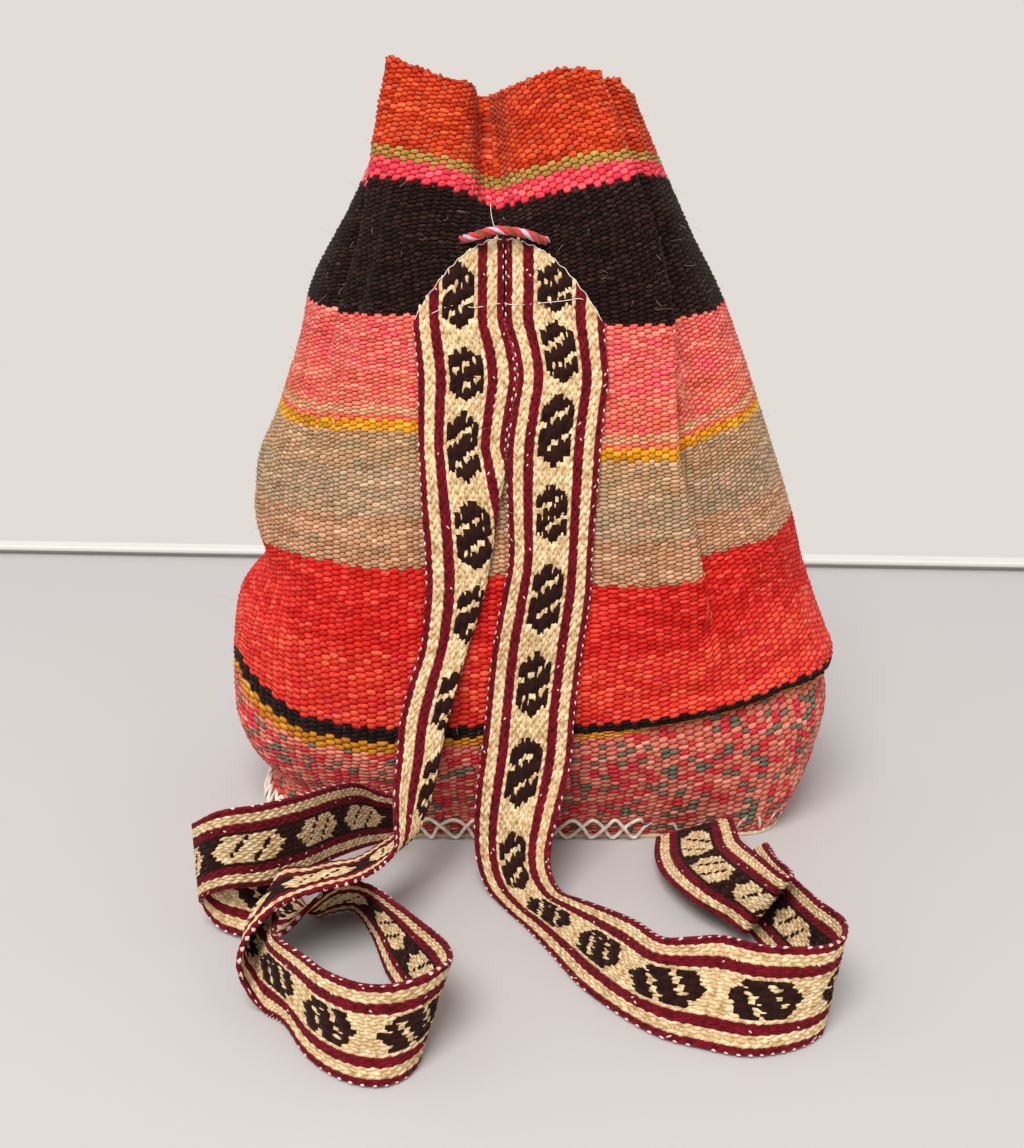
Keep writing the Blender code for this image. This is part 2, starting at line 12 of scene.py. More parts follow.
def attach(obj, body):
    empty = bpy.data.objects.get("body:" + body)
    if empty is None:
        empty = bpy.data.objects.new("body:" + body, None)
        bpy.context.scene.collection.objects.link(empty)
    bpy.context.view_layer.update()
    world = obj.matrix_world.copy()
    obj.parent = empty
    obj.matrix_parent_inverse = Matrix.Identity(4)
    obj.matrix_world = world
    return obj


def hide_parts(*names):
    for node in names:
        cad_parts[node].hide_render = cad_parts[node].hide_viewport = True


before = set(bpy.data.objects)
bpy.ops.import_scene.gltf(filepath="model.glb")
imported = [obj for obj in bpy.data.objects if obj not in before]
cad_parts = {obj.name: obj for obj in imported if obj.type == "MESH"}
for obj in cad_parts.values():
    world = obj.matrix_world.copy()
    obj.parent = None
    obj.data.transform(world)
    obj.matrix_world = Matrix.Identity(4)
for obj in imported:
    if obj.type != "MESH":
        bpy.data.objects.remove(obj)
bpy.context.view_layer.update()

MM = 0.001

# ---- Camera ----
# The bag is seen from a little above, straight in front of its straps. The picture's long
# side and the lens are in pixels, and the sensor in mm.
PICTURE_HEIGHT = 1148
LENS_LENGTH = 1500
SENSOR_WIDTH = 36.0
CAMERA_PLACE = (-0.006, -0.715, 0.355)
CAMERA_TILT = 18.5
camera_data = bpy.data.cameras.new("camera")
camera_data.sensor_width = SENSOR_WIDTH
camera_data.lens = SENSOR_WIDTH * LENS_LENGTH / PICTURE_HEIGHT
camera = bpy.data.objects.new("camera", camera_data)
camera.location = CAMERA_PLACE
camera.rotation_euler = (math.radians(90 - CAMERA_TILT), 0, 0)
bpy.context.scene.collection.objects.link(camera)
bpy.context.scene.camera = camera


# ---- Drawstring ----
# Four wool strands, red, pale blue-grey, red and rust, twisted into one cord. It runs round
# the inside of the neck through four holes, and is half knotted on the side away from the
# straps. The sizes of all the bag's parts are in mm.
CORD_RADIUS = 1.85
STRAND_RISE = 0.15
STRAND_DEPTH = 0.7
STRAND_PITCH = 12.5
# How far apart the tube's rings are, and the length of twist that each of them adds
CORD_STEP = 0.9
CORD_TURN_STEP = 0.7
HALF_KNOT_RADIUS = 2.7
HALF_KNOT_LENGTH = 15.0
HALF_KNOT_STEPS = 8
# A tube's width at its closed ends, and how much each ring adds, as shares of its radius
END_WIDTH = 0.62
END_GROWTH = 0.28
KNOT_CENTRE = (-4.0, 54.5, 283.0)
CORD_TAIL_LEFT = ((-22, 66, 232), (-20, 65, 246), (-18, 63, 260), (-15, 59, 272))
CORD_LEFT = ((-20, 57, 284), (-27, 57, 285), (-30, 49.5, 285), (-34, 41, 285),
             (-37, 31, 285), (-45, 18, 285), (-53, 8, 285), (-58, -3, 285),
             (-56, -16, 286), (-46, -31, 286), (-34, -41, 286), (-28, -49.4, 286),
             (-22, -55.5, 288))
CORD_FRONT = ((-12, -56, 290.5), (0, -56, 289))
CORD_RIGHT = ((6, -54.5, 286.5), (10.5, -48.8, 285), (17, -41, 284.5), (29, -33, 284.5),
              (38, -19, 284.5), (50, -4, 284.5), (48, 8, 284.5), (37, 16, 284.5),
              (31, 26, 284.5), (29, 35, 284), (24.5, 43.5, 283.5), (20, 51, 283.5),
              (13, 55.5, 283.5))
CORD_TAIL_RIGHT = ((6, 57, 272), (9, 60, 260), (12, 63, 246), (15, 64, 234))


def linear(hex_colour):
    """An sRGB colour such as "#C4473F" as the linear values that Blender works in."""
    channels = [int(hex_colour[i:i + 2], 16) / 255 for i in (1, 3, 5)]
    return tuple(c / 12.92 if c < 0.04045 else ((c + 0.055) / 1.055) ** 2.4
                 for c in channels) + (1.0,)


def add_node(material, kind, inputs=None, **settings):
    """Adds a shader node, sets it up, and fills its inputs with values or other nodes."""
    tree = material.node_tree
    node = tree.nodes.new("ShaderNode" + kind)
    for name, value in settings.items():
        setattr(node, name, value)
    for socket, value in (inputs or {}).items():
        if isinstance(value, bpy.types.Node):
            value = value.outputs[0]
        if isinstance(value, bpy.types.NodeSocket):
            tree.links.new(value, node.inputs[socket])
        else:
            node.inputs[socket].default_value = value
    return node


def new_material(name, inputs):
    """A material whose Principled shader has these inputs."""
    material = bpy.data.materials.new(name)
    material.use_nodes = True
    shader = material.node_tree.nodes["Principled BSDF"]
    for socket, value in inputs.items():
        shader.inputs[socket].default_value = value
    return material


def finish_material(material, colour, height=None, strength=0.5, distance=0.0003):
    """Links a colour, and a bump where there is a height, to a material's shader."""
    tree = material.node_tree
    shader = tree.nodes["Principled BSDF"]
    tree.links.new(colour, shader.inputs["Base Color"])
    if height is not None:
        bump = add_node(material, "Bump", {"Height": height, "Strength": strength,
                                           "Distance": distance})
        tree.links.new(bump.outputs[0], shader.inputs["Normal"])


def finish_ramp(ramp, stops, interpolation="LINEAR"):
    """Gives a Color Ramp node its colours, as (place, sRGB hex) from left to right."""
    ramp.color_ramp.interpolation = interpolation
    elements = ramp.color_ramp.elements
    while len(elements) < len(stops):
        elements.new(1.0)
    for element, (place, colour) in zip(elements, stops):
        element.position = place
        element.color = linear(colour)


def uneven_dye(material, scale, detail, roughness, stops):
    """The colour of wool or cotton that is dyed or soiled unevenly, patch by patch."""
    place_on = add_node(material, "TexCoord").outputs["Object"]
    patches = add_node(material, "TexNoise", {"Vector": place_on, "Scale": scale,
                                              "Detail": detail, "Roughness": roughness})
    tone = add_node(material, "ValToRGB", {0: patches})
    finish_ramp(tone, stops)
    return tone.outputs[0]


def add_piece(name, bm, materials, smooth=True):
    """Turns a finished bmesh into a piece of the bag that moves with its root body."""
    mesh = bpy.data.meshes.new(name)
    for face in bm.faces:
        face.smooth = smooth
    bm.to_mesh(mesh)
    bm.free()
    for material in materials:
        mesh.materials.append(material)
    piece = bpy.data.objects.new(name, mesh)
    bpy.context.scene.collection.objects.link(piece)
    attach(piece, "root")
    return piece


def eased(t):
    """A share from 0 to 1 that starts and ends slowly."""
    return t * t * (3 - 2 * t)


def catmull(before, start, end, after, t):
    """Point on a Catmull-Rom curve between start and end."""
    return (start + 0.5 * t * ((end - before)
            + t * (2 * before - 5 * start + 4 * end - after
                   + t * (3 * (start - end) + after - before))))


def even_path(points, step):
    """Points at even steps on the smooth curve through the given points."""
    points = [np.array(point, float) for point in points]
    last = len(points) - 1
    dense = []
    for index in range(last):
        near = [points[min(max(index + k, 0), last)] for k in (-1, 0, 1, 2)]
        dense += [catmull(*near, part / 16) for part in range(16)]
    dense = np.array(dense + [points[-1]])
    travelled = np.concatenate([[0], np.cumsum(np.linalg.norm(np.diff(dense, axis=0),
                                                              axis=1))])
    count = max(2, round(travelled[-1] / step))
    places = np.linspace(0, travelled[-1], count + 1)
    return np.stack([np.interp(places, travelled, dense[:, k]) for k in range(3)], axis=1)


def bend_grid(bm, columns, rows, place):
    """A new grid in bm whose points go where place(across, along), both 0 to 1, says."""
    uv_map = bm.loops.layers.uv.get("weave") or bm.loops.layers.uv.new("weave")
    made = bmesh.ops.create_grid(bm, x_segments=columns, y_segments=rows, size=0.5)
    verts = made["verts"]
    across = np.array([vert.co.x for vert in verts]) + 0.5
    along = np.array([vert.co.y for vert in verts]) + 0.5
    faces = {face for vert in verts for face in vert.link_faces}
    for face in faces:
        for loop in face.loops:
            loop[uv_map].uv = (loop.vert.co.x + 0.5, loop.vert.co.y + 0.5)
    for vert, point in zip(verts, place(across, along)):
        vert.co = point * MM
    return verts


def frames_along(path):
    """Two directions across a path at each point, turned as little as possible."""
    ahead = np.gradient(path, axis=0)
    ahead /= np.linalg.norm(ahead, axis=1)[:, None]
    side = np.zeros_like(path)
    side[0] = np.cross(ahead[0], (0.3, 0.9, 0.1))
    for index in range(len(path)):
        if index:
            side[index] = side[index - 1]
        side[index] -= ahead[index] * side[index].dot(ahead[index])
        side[index] /= np.linalg.norm(side[index])
    return side, np.cross(ahead, side)


def twisted_tube(bm, path, radius, strands, depth, pitch, sides, step):
    """A closed tube along a path whose surface shows its twisted strands."""
    side, up = frames_along(path)
    rows = len(path) - 1

    def place(across, along):
        index = np.rint(along * rows).astype(int)
        angle = across * 2 * math.pi
        twist = angle - 2 * math.pi * index * step / pitch
        reach = radius - depth * (1 - np.abs(np.cos(0.5 * strands * twist)))
        ends = np.minimum(index, rows - index)
        reach = reach * np.where(ends < 2, END_WIDTH + END_GROWTH * ends, 1.0)
        return (path[index] + side[index] * (reach * np.cos(angle))[:, None]
                + up[index] * (reach * np.sin(angle))[:, None])

    verts = bend_grid(bm, sides, rows, place)
    bmesh.ops.remove_doubles(bm, verts=verts, dist=0.01 * MM)
    verts = [vert for vert in verts if vert.is_valid]
    rims = [edge for vert in verts for edge in vert.link_edges if edge.is_boundary]
    bmesh.ops.holes_fill(bm, edges=list(set(rims)), sides=sides + 1)


def half_knot(first_angle):
    """One cord end's turn round the other, from left to right."""
    points = []
    for step in range(HALF_KNOT_STEPS + 1):
        t = step / HALF_KNOT_STEPS
        angle = first_angle + 2 * math.pi * t
        points.append((KNOT_CENTRE[0] + HALF_KNOT_LENGTH * (t - 0.5),
                       KNOT_CENTRE[1] + HALF_KNOT_RADIUS * math.cos(angle),
                       KNOT_CENTRE[2] + HALF_KNOT_RADIUS * math.sin(angle)))
    return points


cord_route = (list(CORD_TAIL_RIGHT[::-1]) + half_knot(math.pi / 2)[::-1]
              + list(CORD_LEFT + CORD_FRONT + CORD_RIGHT)
              + half_knot(-math.pi / 2)[::-1] + list(CORD_TAIL_LEFT[::-1]))
cord_path = even_path(cord_route, CORD_STEP)
bm = bmesh.new()
twisted_tube(bm, cord_path, CORD_RADIUS + STRAND_RISE, 4, STRAND_DEPTH, STRAND_PITCH, 24,
             CORD_TURN_STEP)

# Wool yarn, dyed and plied: matt, with a soft halo of fibres. The strand that a point is
# on follows from the way round the cord and the way along it.
cord = new_material("plied_wool_cord", {
    "Roughness": 0.9, "Sheen Weight": 0.35, "Sheen Roughness": 0.5,
    "Specular IOR Level": 0.2})
cord_length = CORD_STEP * (len(cord_path) - 1)
cord_uv = add_node(cord, "UVMap", uv_map="weave")
split = add_node(cord, "SeparateXYZ", {0: cord_uv})
turns = add_node(cord, "Math", {0: split.outputs[1], 1: cord_length / STRAND_PITCH},
                 operation="MULTIPLY")
phase = add_node(cord, "Math", {0: split.outputs[0], 1: turns}, operation="SUBTRACT")
shifted = add_node(cord, "Math", {0: phase, 1: 0.125}, operation="ADD")
strand = add_node(cord, "Math", {0: shifted}, operation="FRACT")
strand_colour = add_node(cord, "ValToRGB", {0: strand})
finish_ramp(strand_colour, ((0.0, "#D2323A"), (0.25, "#B4B8C2"), (0.5, "#C83034"),
                            (0.75, "#8A4028")), "CONSTANT")
place_on = add_node(cord, "TexCoord").outputs["Object"]
fibres = add_node(cord, "TexNoise", {"Vector": place_on, "Scale": 900.0, "Detail": 3.0})
fibre_tone = add_node(cord, "MapRange", {0: fibres, 1: 0.3, 2: 0.7, 3: 0.7, 4: 1.2})
cord_colour = add_node(cord, "Mix", {0: 1.0, 6: strand_colour, 7: fibre_tone}, data_type="RGBA",
                       blend_type="MULTIPLY")
finish_material(cord, cord_colour.outputs[2], fibres, 0.6, 0.0005)

drawstring = add_piece("drawstring_cord", bm, [cord])
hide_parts("drawstring")


# ---- Cloth of the bag ----
# One hand-woven wool cloth, sewn into a tube and gathered at the neck. The thick weft
# hides the warp, so each pass shows as a row of small pillows over every second warp.
CLOTH_THICKNESS = 3.2
CLOTH_LENGTH = 376
PILLOW_HEIGHT = 1.1
PILLOW_SLANT = 0.12
# Rows of the mesh for each pass of weft
PASS_ROWS = 3
# The cloth's smooth shape: distance from the base seam, height, and an outline with 20
# lines up the cloth, each with its place and how far it stands over that height
LEVELS = (
    (0.0, 2.7, (
        (-128, -4), (-127, -34), (-116, -50), (-96, -57), (-66, -60),
        (-34, -61), (-3, -61), (28, -61), (58, -61), (92, -60),
        (117, -56), (129, -37), (129, 0), (123, 43), (94, 58),
        (46, 60), (0, 60), (-46, 60), (-96, 58), (-122, 40))),
    (36.0, 33.0, (
        (-139, -2, 7), (-135, -35, 6), (-122, -55, 5), (-101, -66, 3), (-70, -73, 1),
        (-37, -77), (-3, -77), (30, -77), (62, -76, 1), (95, -73, 3),
        (125, -64, 5), (145, -44, 7), (152, 0, 8), (141, 44, 6), (102, 65, 3),
        (54, 73, 1), (0, 75), (-53, 73, 1), (-101, 64, 3), (-131, 40, 6))),
    (75.0, 67.0, (
        (-146, 0, 14), (-139, -36, 12), (-124, -58, 10), (-104, -72, 7), (-72, -83, 3),
        (-38, -88, 1), (-4, -89), (30, -88), (62, -86, 2), (94, -80, 5),
        (122, -66, 8), (143, -43, 12), (151, 0, 13), (140, 44, 12), (106, 70, 6),
        (58, 83, 2), (0, 86), (-58, 83, 2), (-104, 68, 7), (-136, 40, 12))),
    (143.0, 132.0, (
        (-134, 1, 18), (-127, -34, 15), (-113, -54, 12), (-99, -67, 10), (-67, -79, 5),
        (-35, -83, 3), (-5, -84, 1), (25, -83), (56, -82, 1), (84, -76, 4),
        (103, -61, 7), (122, -39, 11), (133, 0, 14), (121, 41, 12), (88, 66, 6),
        (48, 79, 2), (-3, 80), (-54, 80, 2), (-94, 66, 8), (-124, 39, 14))),
    (211.0, 198.0, (
        (-115, 2, 14), (-109, -30, 12), (-97, -47, 10), (-92, -57, 9), (-60, -69, 7),
        (-30, -72, 5), (-6, -72, 3), (18, -72, 1), (48, -72), (75, -66, 2),
        (82, -51, 3), (103, -34, 7), (111, 0, 10), (97, 38, 9), (66, 60, 5),
        (34, 70, 2), (-6, 66), (-46, 71, 2), (-80, 60, 6), (-106, 38, 11))),
    (268.0, 251.0, (
        (-98, 4, 4), (-93, -24, 3), (-80, -34, 1), (-85, -48, 1), (-50, -59),
        (-26, -59), (-8, -58), (12, -59), (40, -61), (69, -54, 1),
        (62, -38, 1), (84, -26, 3), (93, 2, 4), (78, 36, 2), (50, 44),
        (28, 60), (-6, 46), (-40, 62), (-64, 46), (-90, 36, 2))),
    (305.0, 286.0, (
        (-84, 6, 2), (-80, -15, 1), (-66, -20, -1), (-75, -40, 2), (-46, -51, 1),
        (-26, -51, -2), (-12, -49, -5), (2, -51, -3), (30, -53, 1), (61, -44, 2),
        (46, -25, -1), (67, -20, 1), (76, 6, 2), (64, 30, 1), (40, 24, -2),
        (28, 48, 1), (-4, 26, -3), (-34, 50, 1), (-52, 26, -2), (-76, 34, 1))),
    (376.0, 356.0, (
        (-54, 10, -2), (-51, -4, -1), (-45, -9, -5), (-61, -22, 5), (-40, -31, -2),
        (-24, -27, -6), (-16, -2, -12), (-8, -27, -8), (14, -33), (33, -25, -2),
        (23, -9, -6), (41, -14, -4), (50, 2, -12), (46, 18, -14), (31, 12, -18),
        (22, 32, -16), (-2, 13, -20), (-22, 34, -16), (-36, 14, -14), (-50, 26, -8))),
)
# Soft hollows: distance, depth, half height, line, and half width in lines
CREASES = (
    (20.0, 8.0, 10.0, 1.0, 3.2),
    (50.0, -3.0, 13.0, 1.5, 3.5),
    (126.0, 12.0, 14.0, 0.0, 1.8),
    (176.0, -3.0, 15.0, 0.3, 2.0),
    (124.0, 2.5, 12.0, 10.5, 1.4),
    (84.0, -3.0, 14.0, 11.3, 1.3),
    (36.0, 4.0, 16.0, 10.8, 1.0),
    (278.0, -5.0, 26.0, 0.3, 1.8),
)
# The cloth bags out over a crease in front on the right: its depth and reach below, the
# lines between which it runs, and its distance by line
LEVEL_CREASE = (5.0, 14.0, 7.3, 12.6)
LEVEL_CREASE_LIP = 0.35
CREASE_HEIGHTS = ((7, 8, 9, 10, 11, 12, 13), (77.0, 77.5, 79.5, 81.5, 77.5, 74.5, 73.0))
# Sharp folds: the outline line of the ridge at some distances, how deep the cloth drops
# beside it there, on which side, and over how many lines it comes back
FOLDS = (
    ((120, 145, 170, 205, 230, 268, 328, 376), (8.9, 8.85, 8.75, 8.62, 8.65, 8.75, 8.75, 8.9),
     (0, 11.0, 14.0, 14.0, 13.0, 11.0, 8.0, 6.0), 1, 0.9),
    ((160, 176, 192, 205, 226, 268, 306, 345), (3.4, 3.3, 3.2, 3.22, 3.3, 3.45, 3.5, 3.5),
     (0, 3.0, 5.5, 6.0, 5.0, 4.0, 3.0, 0), -1, 1.3),
    ((318, 335, 376), (11.0, 11.1, 11.1), (0, 2.5, 4.0), 1, 0.6),
    ((300, 318, 345, 376), (5.9, 5.92, 5.95, 5.9), (0, 3.5, 6.0, 6.0), -1, 0.5),
)
# How far the stripes sit above their even place, by distance and line
LIFT_LINES = (0, 1, 2, 3, 4, 5, 6, 7, 8, 8.8, 9, 10, 11, 12, 14, 18, 20)
LIFTS = (
    (0.0, (0,) * 17),
    (65.0, (1, 6, -3.5, -8.5, -6.5, 2, 7, 9, 8.5, 11, 11.5, 13, 8, 4, 0, 0, 0)),
    (75.0, (0, 7, 0, -6, -4, 2, 4, 5, 4, 5.5, 6, 8, 4, 1, 0, 0, 0)),
    (145.0, (-5, -4, 0, 2.5, 7, 9.5, 7.5, 4.5, 3, 3, 9, 8.5, 6, 5, 0, 0, -5)),
    (207.0, (-6, -5, -3, 0.5, 4, 4.5, 3, -0.5, -1.5, -2, -2, 0.5, 1, 2, 0, 0, -6)),
    (268.0, (2, 2, 2, 2, 4.5, 3, 2.5, 2.5, 0, -1.5, -3, -3, -3, -2, 0, 0, 2)),
    (328.0, (-4, -5, -4, -2.5, -1.5, -2, -5.5, -5, -4, 0, 1, 2, 1, 0, 0, -2, -4)),
    (350.0, (0, 0, 0, 0, 0, 0, -3, -2, -1, 0, 0, 0, 0, 0, 0, 0, 0)),
    (376.0, (0,) * 17),
)
# A sharp fold: how wide its wall is, and how high and wide its ridge, in lines
FOLD_WALL = 0.11
FOLD_RIDGE = (0.25, 0.35)
LINES = 20.0
MIDDLE_LINE = 6.0
# Places round the bag at which its smooth shape is worked out
DENSE = 1200

# Stripes from the base seam up: where each ends along the cloth, its passes of weft, the
# colours of its darker, middle and lighter yarns and of two stray yarns, and their shares
STRIPES = (
    ("speckled", 66.0, 24, "#B0564A #D67C68 #EEA48C #6C6E5C #D23A44", 0.2, 0.25),
    ("ochre line", 71.0, 2, "#A86A1A #CC8A22 #E2A63A #B85A2C #B87822", 0.12, 0.1),
    ("black line", 75.0, 2, "#180E0C #221512 #30201B #2A1A15 #1C110E", 0.1, 0.1),
    ("low red", 108.0, 13, "#BC2618 #D63C2C #EE644E #DC583A #CE2C2E", 0.12, 0.12),
    ("red", 145.0, 16, "#AE160F #CE2820 #E84C3E #BC1A16 #DA4636", 0.12, 0.08),
    ("tan stone", 165.0, 9, "#966C4C #BA8C6A #E0B490 #A08A6E #C2926F", 0.05, 0.1),
    ("grey stone", 190.0, 11, "#8A7456 #AE9072 #D4B490 #9E8C70 #BE957A", 0.1, 0.1),
    ("olive stone", 205.0, 7, "#90724E #B48E6A #D6B28A #9E8A68 #BE906C", 0.1, 0.1),
    ("mustard line", 210.0, 2, "#AE760E #D9971F #ECB23A #C88428 #E0A42C", 0.08, 0.1),
    ("coral line", 213.0, 1, "#C85040 #E06854 #F08A72 #D87458 #E0665C", 0.15, 0.15),
    ("tan line", 219.0, 3, "#B07A52 #CC9A70 #E4BC92 #D6866A #D28E74", 0.12, 0.12),
    ("coral", 238.0, 8, "#BA4E3E #DA7058 #F6A088 #CC7E60 #DA5C5C", 0.1, 0.14),
    ("salmon", 268.0, 13, "#BC463E #DE6C5E #FCA090 #D07664 #E05A62", 0.1, 0.16),
    ("dark brown", 328.0, 27, "#170B08 #24130E #37231B #2E1C14 #1E110D", 0.08, 0.08),
    ("hot pink", 336.0, 3, "#C03242 #DE4854 #F2747A #D85A4C #CE384E", 0.1, 0.14),
    ("olive line", 340.5, 2, "#84642C #A27E3E #BC9650 #B87038 #A08040", 0.1, 0.1),
    ("rust orange", 376.0, 16, "#982208 #BE3A1A #E0623A #B24628 #CC501E", 0.12, 0.12),
)

level_distances = np.array([level[0] for level in LEVELS])
around = np.arange(DENSE) * LINES / DENSE


def lines_from(line):
    """How many lines each place round the bag is from this line, -10 to 10."""
    return (around - line + 0.5 * LINES) % LINES - 0.5 * LINES


def closed_outline(corners):
    """The smooth closed curve through an outline's corners, at DENSE even places."""
    corners = np.array([(*corner, 0)[:3] for corner in corners], float)
    index = np.floor(around).astype(int)
    near = [corners[(index + step) % 20] for step in (-1, 0, 1, 2)]
    return catmull(*near, (around - index)[:, None])


level_points = np.array([closed_outline(outline) + (0, 0, height)
                         for distance, height, outline in LEVELS])


def cloth_row(distance):
    """The smooth cloth at one distance from its base seam, and its outward directions."""
    last = len(LEVELS) - 1
    index = int(np.clip(np.searchsorted(level_distances, distance, "right") - 1,
                        0, last - 1))

    def slope(i):
        low = max(i - 1, 0)
        high = min(i + 1, last)
        return ((level_points[high] - level_points[low])
                / (level_distances[high] - level_distances[low]))

    span = level_distances[index + 1] - level_distances[index]
    t = (distance - level_distances[index]) / span
    row = (level_points[index] * (1 - eased(t)) + level_points[index + 1] * eased(t)
           + slope(index) * span * t * (1 - t) ** 2
           - slope(index + 1) * span * t * t * (1 - t))
    along = np.roll(row, -20, axis=0) - np.roll(row, 20, axis=0)
    outward = np.stack([along[:, 1], -along[:, 0], np.zeros(DENSE)], axis=1)
    outward /= np.linalg.norm(outward, axis=1)[:, None]
    depth = np.zeros(DENSE)
    for middle, deep, half_height, centre_line, spread in CREASES:
        away = lines_from(centre_line)
        depth += (deep * math.exp(-((distance - middle) / half_height) ** 2)
                  * np.exp(-(away / spread) ** 2))
    deep, below, first, last = LEVEL_CREASE
    under = np.interp(around, *CREASE_HEIGHTS) - distance
    under = (np.clip(under / 2.0, 0, 1) * np.exp(-np.clip(under, 0, None) / below)
             - LEVEL_CREASE_LIP * np.exp(-((under + 5.0) / 5.0) ** 2))
    depth += deep * under * np.clip(np.minimum(around - first, last - around) / 0.8, 0, 1)
    for places, lines, depths, side, reach in FOLDS:
        away = side * lines_from(np.interp(distance, places, lines))
        wall = np.clip(away / FOLD_WALL, 0, 1)
        drop = (eased(wall) * np.exp(-(np.clip(away, 0, None) / reach) ** 2)
                - FOLD_RIDGE[0] * np.exp(-(away / FOLD_RIDGE[1]) ** 2))
        depth += np.interp(distance, places, depths, 0, depths[-1]) * drop
    return row - outward * depth[:, None], outward


def warps_across(row, warps, spacing):
    """Places of the warps on a row: evenly spaced in front, and less so towards the back."""
    first = int(round(MIDDLE_LINE * DENSE / LINES))
    turned = np.roll(row, -first, axis=0)
    steps = np.linalg.norm(np.roll(turned, -1, axis=0) - turned, axis=1)
    half = DENSE // 2
    places = []
    count = warps // 2
    number = np.arange(count + 1)
    for side in (steps[:half], steps[half:][::-1]):
        reach = np.concatenate([[0], np.cumsum(side)])
        wanted = (spacing * number
                  + (reach[-1] - spacing * count) * (number / count) ** 2)
        places.append(np.interp(wanted, reach, np.arange(half + 1)))
    right, left = places
    return np.concatenate([-left[::-1], right[1:]]), first


def weave_rows(low_stripe, high_stripe):
    """Distances of the mesh rows of some stripes, and the weft pass of each row."""
    distances = []
    passes = []
    start = STRIPES[low_stripe - 1][1] if low_stripe else 0.0
    passed = sum(stripe[2] for stripe in STRIPES[:low_stripe])
    for name, end, rows, *yarn in STRIPES[low_stripe:high_stripe]:
        steps = rows * PASS_ROWS
        distances += [start + (end - start) * k / steps for k in range(steps)]
        passes += [passed + k / PASS_ROWS for k in range(steps)]
        start = end
        passed += rows
    return distances + [start], passes + [passed]


def wander(row_step, column_step, seed):
    """A smooth random field from -1 to 1 over the cloth, by whole distance and line."""
    across = round(DENSE / column_step)
    along = math.ceil(CLOTH_LENGTH / row_step)
    marks = np.random.default_rng(seed).uniform(-1, 1, (along + 2, across))
    row = np.arange(CLOTH_LENGTH + 1) / row_step
    column = np.arange(DENSE) * across / DENSE
    low = np.floor(row).astype(int)
    left = np.floor(column).astype(int)
    up = eased(row - low)
    over = eased(column - left)
    right = (left + 1) % across
    lower = marks[low][:, left] * (1 - over) + marks[low][:, right] * over
    upper = marks[low + 1][:, left] * (1 - over) + marks[low + 1][:, right] * over
    return lower * (1 - up)[:, None] + upper * up[:, None]


smooth_rows = [cloth_row(distance) for distance in range(CLOTH_LENGTH + 1)]
smooth_points = np.array([row for row, outward in smooth_rows])
smooth_ways = np.array([outward for row, outward in smooth_rows])

# Where the weave's passes and warps lie on the smooth cloth: their lift, and their drift in
# steps round the bag
by_line = [np.interp(around, LIFT_LINES, lifts) for distance, lifts in LIFTS]
weave_lift = np.array([
    [np.interp(distance, [lift[0] for lift in LIFTS], [lifts[k] for lifts in by_line])
     for distance in range(CLOTH_LENGTH + 1)] for k in range(DENSE)]).T
weave_lift += 0.9 * wander(28, 60, 3) + 0.5 * wander(7, 12, 4)
weave_drift = 4.0 * wander(40, 50, 6) + 2.2 * wander(5, 12, 8)
from_seam = np.arange(CLOTH_LENGTH + 1)
kept = np.clip(np.minimum(from_seam / 20, (CLOTH_LENGTH - from_seam) / 12), 0, 1)
weave_lift *= kept[:, None]


def from_grid(grid, distance, index):
    """A field's values between its whole distances and steps round the bag."""
    distance = np.clip(distance, 0, CLOTH_LENGTH - 0.001)
    low = distance.astype(int)
    left = np.floor(index).astype(int)
    up = distance - low
    over = index - left
    left %= DENSE
    right = (left + 1) % DENSE
    if grid.ndim == 3:
        up = up[..., None]
        over = over[..., None]
    return ((grid[low, left] * (1 - over) + grid[low, right] * over) * (1 - up)
            + (grid[low + 1, left] * (1 - over) + grid[low + 1, right] * over) * up)


def pillows(column, weft_pass, warps):
    """Height, about 0 to 1, of the weft's pillows, each a little different."""
    warp = np.floor(column)
    across = column - warp - 0.5
    along = weft_pass + 0.5 * (warp % 2) - PILLOW_SLANT * across
    turn = np.floor(along)
    along = along - turn - 0.5
    sizes = np.random.default_rng(5).uniform(0.7, 1.25, (warps, 200))
    size = sizes[warp.astype(int) % warps, turn.astype(int) % 200]
    return size * (1 - 0.8 * np.abs(2 * across) ** 2) * (1 - 0.9 * np.abs(2 * along) ** 2)


def rim_place(faces, down_side, end):
    """Where a grid goes that joins a cloth's two faces, down a side or along an end."""
    def place(across, along):
        ends = np.full(len(across), float(end))
        low, high = [face(ends, across) if down_side else face(across, ends)
                     for face in faces]
        return np.where(along[:, None] > 0.5, high, low)
    return place


